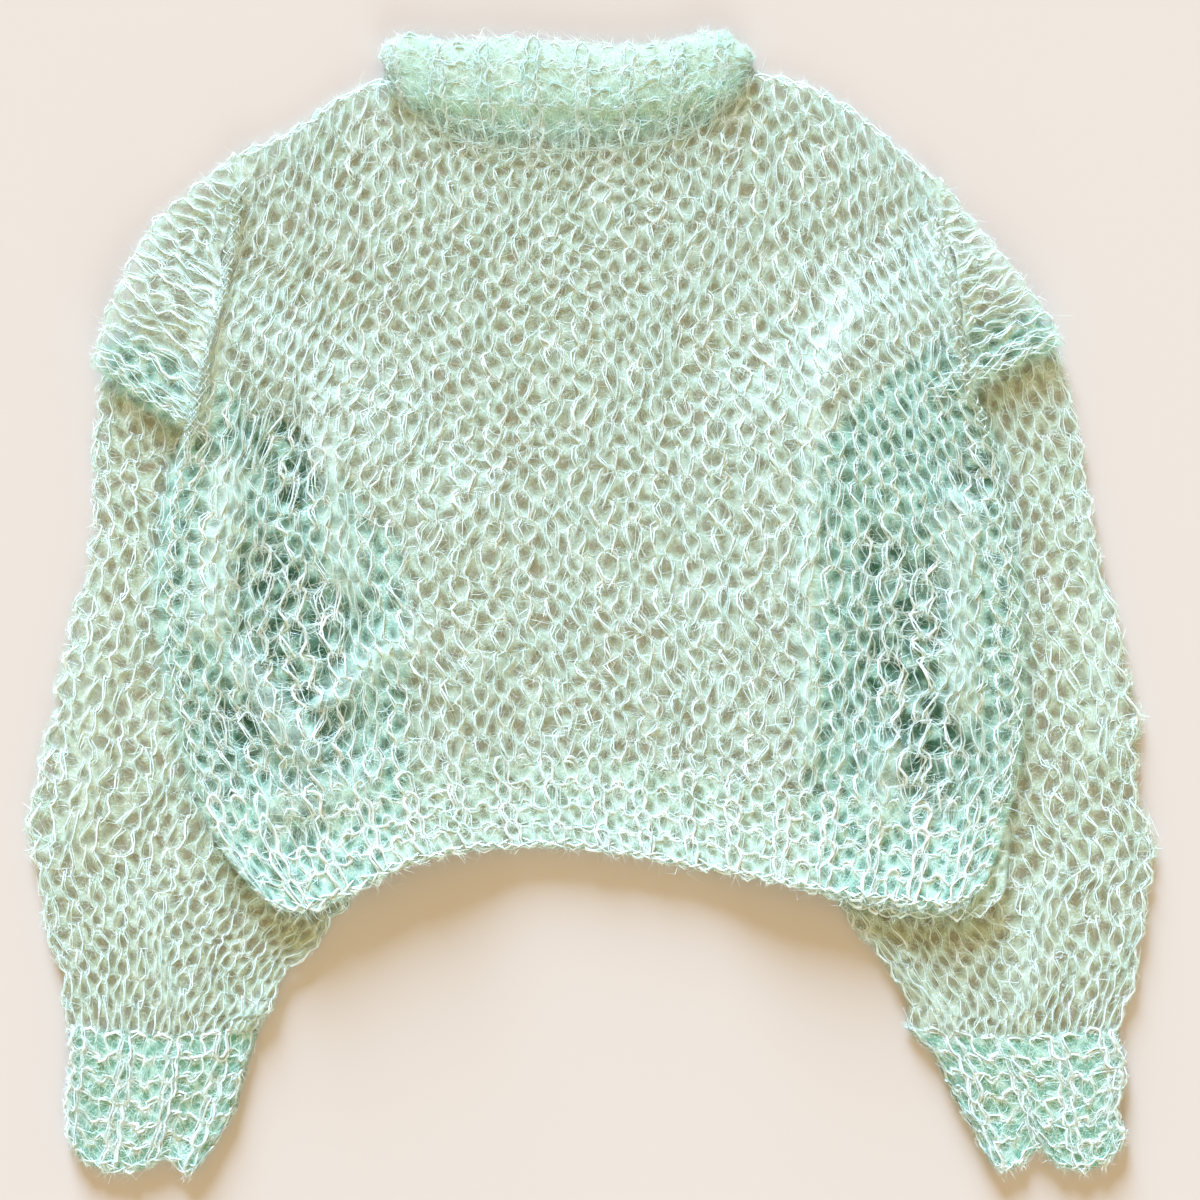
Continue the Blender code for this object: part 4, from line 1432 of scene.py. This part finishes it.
class PulloverYarn(bpy.types.PropertyGroup):
    """Yarn of the pullover"""

    hair_length: number_setting(
        "Hair Length", "Usual length of the long loose hairs", 0.009, 0.001, "LENGTH",
    )
    hair_width: number_setting(
        "Hair Width", "Width of a loose hair at its root", 0.00022, 0.00005, "LENGTH",
    )
    hair_count: bpy.props.IntProperty(
        name="Long Hairs", description="Long loose hairs on the whole garment", default=60000, min=0,
    )
    fuzz_length: number_setting(
        "Fuzz Length", "Usual length of the short hairs on the strands", 0.0042, 0.001, "LENGTH",
    )
    fuzz_count: bpy.props.IntProperty(
        name="Short Hairs", description="Short hairs on the whole garment", default=300000, min=0,
    )
    # Painted shade: the fluff deep in a hollow is coloured this dark green
    haze_hollow_shade: colour_setting(
        "Dark Haze", "Colour of the fluff deep in a hollow", (0.02, 0.10, 0.045, 1.0),
    )
    yarn_pale: colour_setting("Pale Yarn", "Colour of the lightest yarn", (0.85, 0.94, 0.91, 1.0))
    # Painted light: a less red colour for the neckband's strands, so that they don't turn tan in the
    # band's own shade
    yarn_band_painted_light: colour_setting(
        "Neckband Yarn", "Deepest colour of the neckband's strands", (0.58, 0.86, 0.84, 1.0),
    )
    yarn_mint: colour_setting(
        "Mint Yarn", "Colour of the yarn where it is deepest", (0.74, 0.90, 0.84, 1.0),
    )
    # Also the colour of the painted highlight on the crests of the folds
    haze_light: colour_setting(
        "Light Haze", "Colour of the fluff beside the strands", (0.68, 0.85, 0.77, 1.0),
    )
    haze_pale: colour_setting(
        "Pale Haze", "Colour of the fluff where few layers lie", (0.55, 0.72, 0.59, 1.0),
    )
    # Painted shade: the olive that the mint fluff of the lower layers takes in shade
    haze_olive_shade: colour_setting(
        "Olive Haze", "Colour of the fluff of the sleeves and the back", (0.54, 0.66, 0.47, 1.0),
    )
    # Painted shade: the fluff in the holes where few layers lie is coloured this dark olive
    haze_hole_shade: colour_setting(
        "Deep Haze", "Colour of the fluff in the holes where few layers lie", (0.52, 0.56, 0.36, 1.0),
    )
    haze_mint: colour_setting(
        "Mint Haze", "Colour of the fluff where many layers lie", (0.33, 0.66, 0.55, 1.0),
    )
    # Painted shade: the fluff in the holes where many layers lie is coloured this dark emerald
    haze_emerald_hole_shade: colour_setting(
        "Emerald Haze", "Colour of the fluff in the holes where many layers lie", (0.14, 0.40, 0.29, 1.0),
    )


class PulloverStage(bpy.types.PropertyGroup):
    """Floor, lights and camera"""

    floor: colour_setting("Floor", "Colour of the floor", (0.62, 0.565, 0.53, 1.0))
    frame_width: number_setting(
        "Frame Width", "Width of the floor that the picture shows", 0.768, 0.1, "LENGTH",
    )
    lens: number_setting("Lens", "Focal length of the camera", 85.0, 10.0)
    key_colour: colour_setting(
        "Key Colour", "Colour of the soft light from the neck's side", (0.52, 0.73, 1.0),
    )
    key_strength: number_setting(
        "Key Strength", "Strength of the soft light from the neck's side", 12.7,
    )
    key_height: angle_setting("Key Height", "Angle of the soft light over the floor", 13.5)
    key_turn: bpy.props.FloatProperty(
        name="Key Turn", description="Turn of the soft light from straight over the neck",
        default=math.radians(12), subtype="ANGLE",
    )
    key_spread: angle_setting("Key Spread", "How wide the soft light looks from the floor", 24)
    fill_colour: colour_setting(
        "Fill Colour", "Colour of the weak light from the hem's side", (0.56, 0.80, 0.92),
    )
    fill_strength: number_setting(
        "Fill Strength", "Strength of the weak light from the hem's side", 3.0,
    )
    fill_height: angle_setting("Fill Height", "Angle of the weak light over the floor", 12)
    fill_spread: angle_setting("Fill Spread", "How wide the weak light looks from the floor", 40)
    surround: colour_setting("Surround", "Colour of the light from all round", (1.0, 0.70, 0.31, 1.0))
    surround_strength: number_setting(
        "Surround Strength", "Strength of the light from all round", 0.80,
    )


class PULLOVER_OT_stage(bpy.types.Operator):
    """Make the floor, the lights and the camera"""

    bl_idname = "pullover.stage"
    bl_label = "Stage"

    def execute(self, context):
        settings = context.scene.pullover_stage
        self.make_floor(settings)
        self.make_lights(context, settings)
        self.make_camera(context, settings)
        return {"FINISHED"}

    def make_floor(self, settings):
        mesh = grid_mesh("floor", 1, 1, FLOOR_SIZE)
        material, _, shader = new_material("floor_cloth", 0.9, 0.0)
        shader.inputs["Base Color"].default_value = settings.floor
        mesh.materials.append(material)
        linked("floor", mesh)

    def make_lights(self, context, settings):
        self.make_lamp(settings, "key", settings.key_turn)
        self.make_lamp(settings, "fill", settings.key_turn + math.pi)
        world = bpy.data.worlds.new("surround")
        world.use_nodes = True
        background = world.node_tree.nodes["Background"]
        background.inputs["Color"].default_value = settings.surround
        background.inputs["Strength"].default_value = settings.surround_strength
        context.scene.world = world
        context.scene.view_settings.view_transform = "Standard"

    def make_lamp(self, settings, name, turn):
        light = bpy.data.lights.new(name, "SUN")
        light.energy = getattr(settings, name + "_strength")
        light.color = getattr(settings, name + "_colour")
        light.angle = getattr(settings, name + "_spread")
        height = getattr(settings, name + "_height")
        linked(name, light).rotation_euler = (height - math.pi / 2, 0.0, turn)

    def make_camera(self, context, settings):
        camera = bpy.data.cameras.new("camera")
        camera.lens = settings.lens
        lookout = linked("camera", camera)
        distance = settings.frame_width * settings.lens / camera.sensor_width
        lookout.location = (*CAMERA_PLACE, distance + CLOTH_HEIGHT)
        context.scene.camera = lookout


class PULLOVER_OT_body(bpy.types.Operator):
    """Knit the front and the back"""

    bl_idname = "pullover.body"
    bl_label = "Body"

    def execute(self, context):
        last = BODY_WALES - 0.1
        sides = (
            (0, ((0.1, 0), (0.1, SIDE_COURSES), 7, 2.4, 0.45, 0.6)),
            (0, ((last, 0), (last, SIDE_COURSES), 7, 2.4, 0.45, 0.6)),
            (0, ((0.1, SIDE_COURSES), (0.1, BODY_COURSES - 1), 10, 3.6, 0.5, 1.4)),
            (0, ((0.3, SIDE_COURSES), (0.0, BODY_COURSES - 1), 7, 4.4, 0.4, 1.8)),
            (0, ((last, SIDE_COURSES), (last, BODY_COURSES - 1), 9, 3.6, 0.5, 1.4)),
            (0, ((0, BODY_COURSES), (BODY_WALES, BODY_COURSES), 14, 2.2, 0.5, 0.2)),
            (1, ((0.2, 0), (0.2, WING_COURSES), 3, 2.8, 0.5, 0.4)),
            (1, ((0.6, 0), (0.6, WING_COURSES), 2, 3.0, 0.5, 0.8)),
            (2, ((0.2, 0), (0.2, WING_COURSES), 3, 2.8, 0.5, 0.4)),
            (2, ((0.6, 0), (0.6, WING_COURSES), 2, 3.0, 0.5, 0.8)),
        )
        knit_piece(
            "back", self.parts(False), "STOCKING", BACK_STRANDS, 0.05,
            haze_name="covered_haze",
        )
        knit_piece("front", self.parts(True), "STOCKING", SHOWN, 0.33, sides)
        return {"FINISHED"}

    def parts(self, front):
        return [body_cloth(front), wing_cloth("left", front), wing_cloth("right", front)]


class PULLOVER_OT_sleeves(bpy.types.Operator):
    """Knit both sleeves"""

    bl_idname = "pullover.sleeves"
    bl_label = "Sleeves"

    def execute(self, context):
        for side in SLEEVES:
            knit_piece(
                "sleeve_" + side, [sleeve_cloth(side)], "STOCKING", SLEEVE_STRANDS, 0.145,
                haze_name="covered_haze",
            )
        return {"FINISHED"}


class PULLOVER_OT_hems(bpy.types.Operator):
    """Knit the ribbed hems"""

    bl_idname = "pullover.hems"
    bl_label = "Hems"

    def execute(self, context):
        cast_off = ((0, ((0, 0.0), (HEM_COLUMNS, 0.0), HEM_COLUMNS // 2, 2.2, 0.6, 0.2)),)
        for front in (False, True):
            knit_piece(
                "hem_front" if front else "hem_back", [hem_cloth(front)], "RIB",
                RIB_SHOWN if front else RIB_COVERED, 0.09 if front else 0.02, cast_off,
            )
        return {"FINISHED"}


class PULLOVER_OT_neckband(bpy.types.Operator):
    """Knit the neckband"""

    bl_idname = "pullover.neckband"
    bl_label = "Neckband"

    def execute(self, context):
        knit_piece(
            "neckband", [band_cloth()], "RIB", BAND_STRANDS, 0.09,
            haze_name="band_haze", lift=0.2, fade=BAND_FADE, yarn_name="band_yarn",
        )
        return {"FINISHED"}


class PULLOVER_OT_cuffs(bpy.types.Operator):
    """Knit both cuffs"""

    bl_idname = "pullover.cuffs"
    bl_label = "Cuffs"

    def execute(self, context):
        end = CUFF_ROWS - 0.05
        cast_off = ((0, ((0, end), (2 * CUFF_COLUMNS, end), CUFF_COLUMNS, 2.2, 0.6, 0.2)),)
        for side in SLEEVES:
            knit_piece(
                "cuff_" + side, [cuff_cloth(side)], "RIB", RIB_SHOWN, 0.065, cast_off,
                haze_name="cuff_haze",
            )
        return {"FINISHED"}


class PULLOVER_PT_panel(bpy.types.Panel):
    """Steps that make the pullover"""

    bl_label = "Pullover"
    bl_idname = "PULLOVER_PT_panel"
    bl_space_type = "VIEW_3D"
    bl_region_type = "UI"
    bl_category = "Pullover"

    def draw(self, context):
        for step in STEPS:
            self.layout.operator("pullover." + step)


STEPS = ("stage", "sleeves", "body", "hems", "neckband", "cuffs")
CLASSES = (
    PulloverYarn, PulloverStage, PULLOVER_OT_stage, PULLOVER_OT_sleeves, PULLOVER_OT_body,
    PULLOVER_OT_hems, PULLOVER_OT_neckband, PULLOVER_OT_cuffs, PULLOVER_PT_panel,
)


def register():
    for group in CLASSES:
        bpy.utils.register_class(group)
    bpy.types.Scene.pullover_yarn = bpy.props.PointerProperty(type=PulloverYarn)
    bpy.types.Scene.pullover_stage = bpy.props.PointerProperty(type=PulloverStage)


def unregister():
    del bpy.types.Scene.pullover_stage
    del bpy.types.Scene.pullover_yarn
    for group in reversed(CLASSES):
        bpy.utils.unregister_class(group)


def main():
    register()
    for step in STEPS:
        getattr(bpy.ops.pullover, step)()


if __name__ == "__main__":
    main()
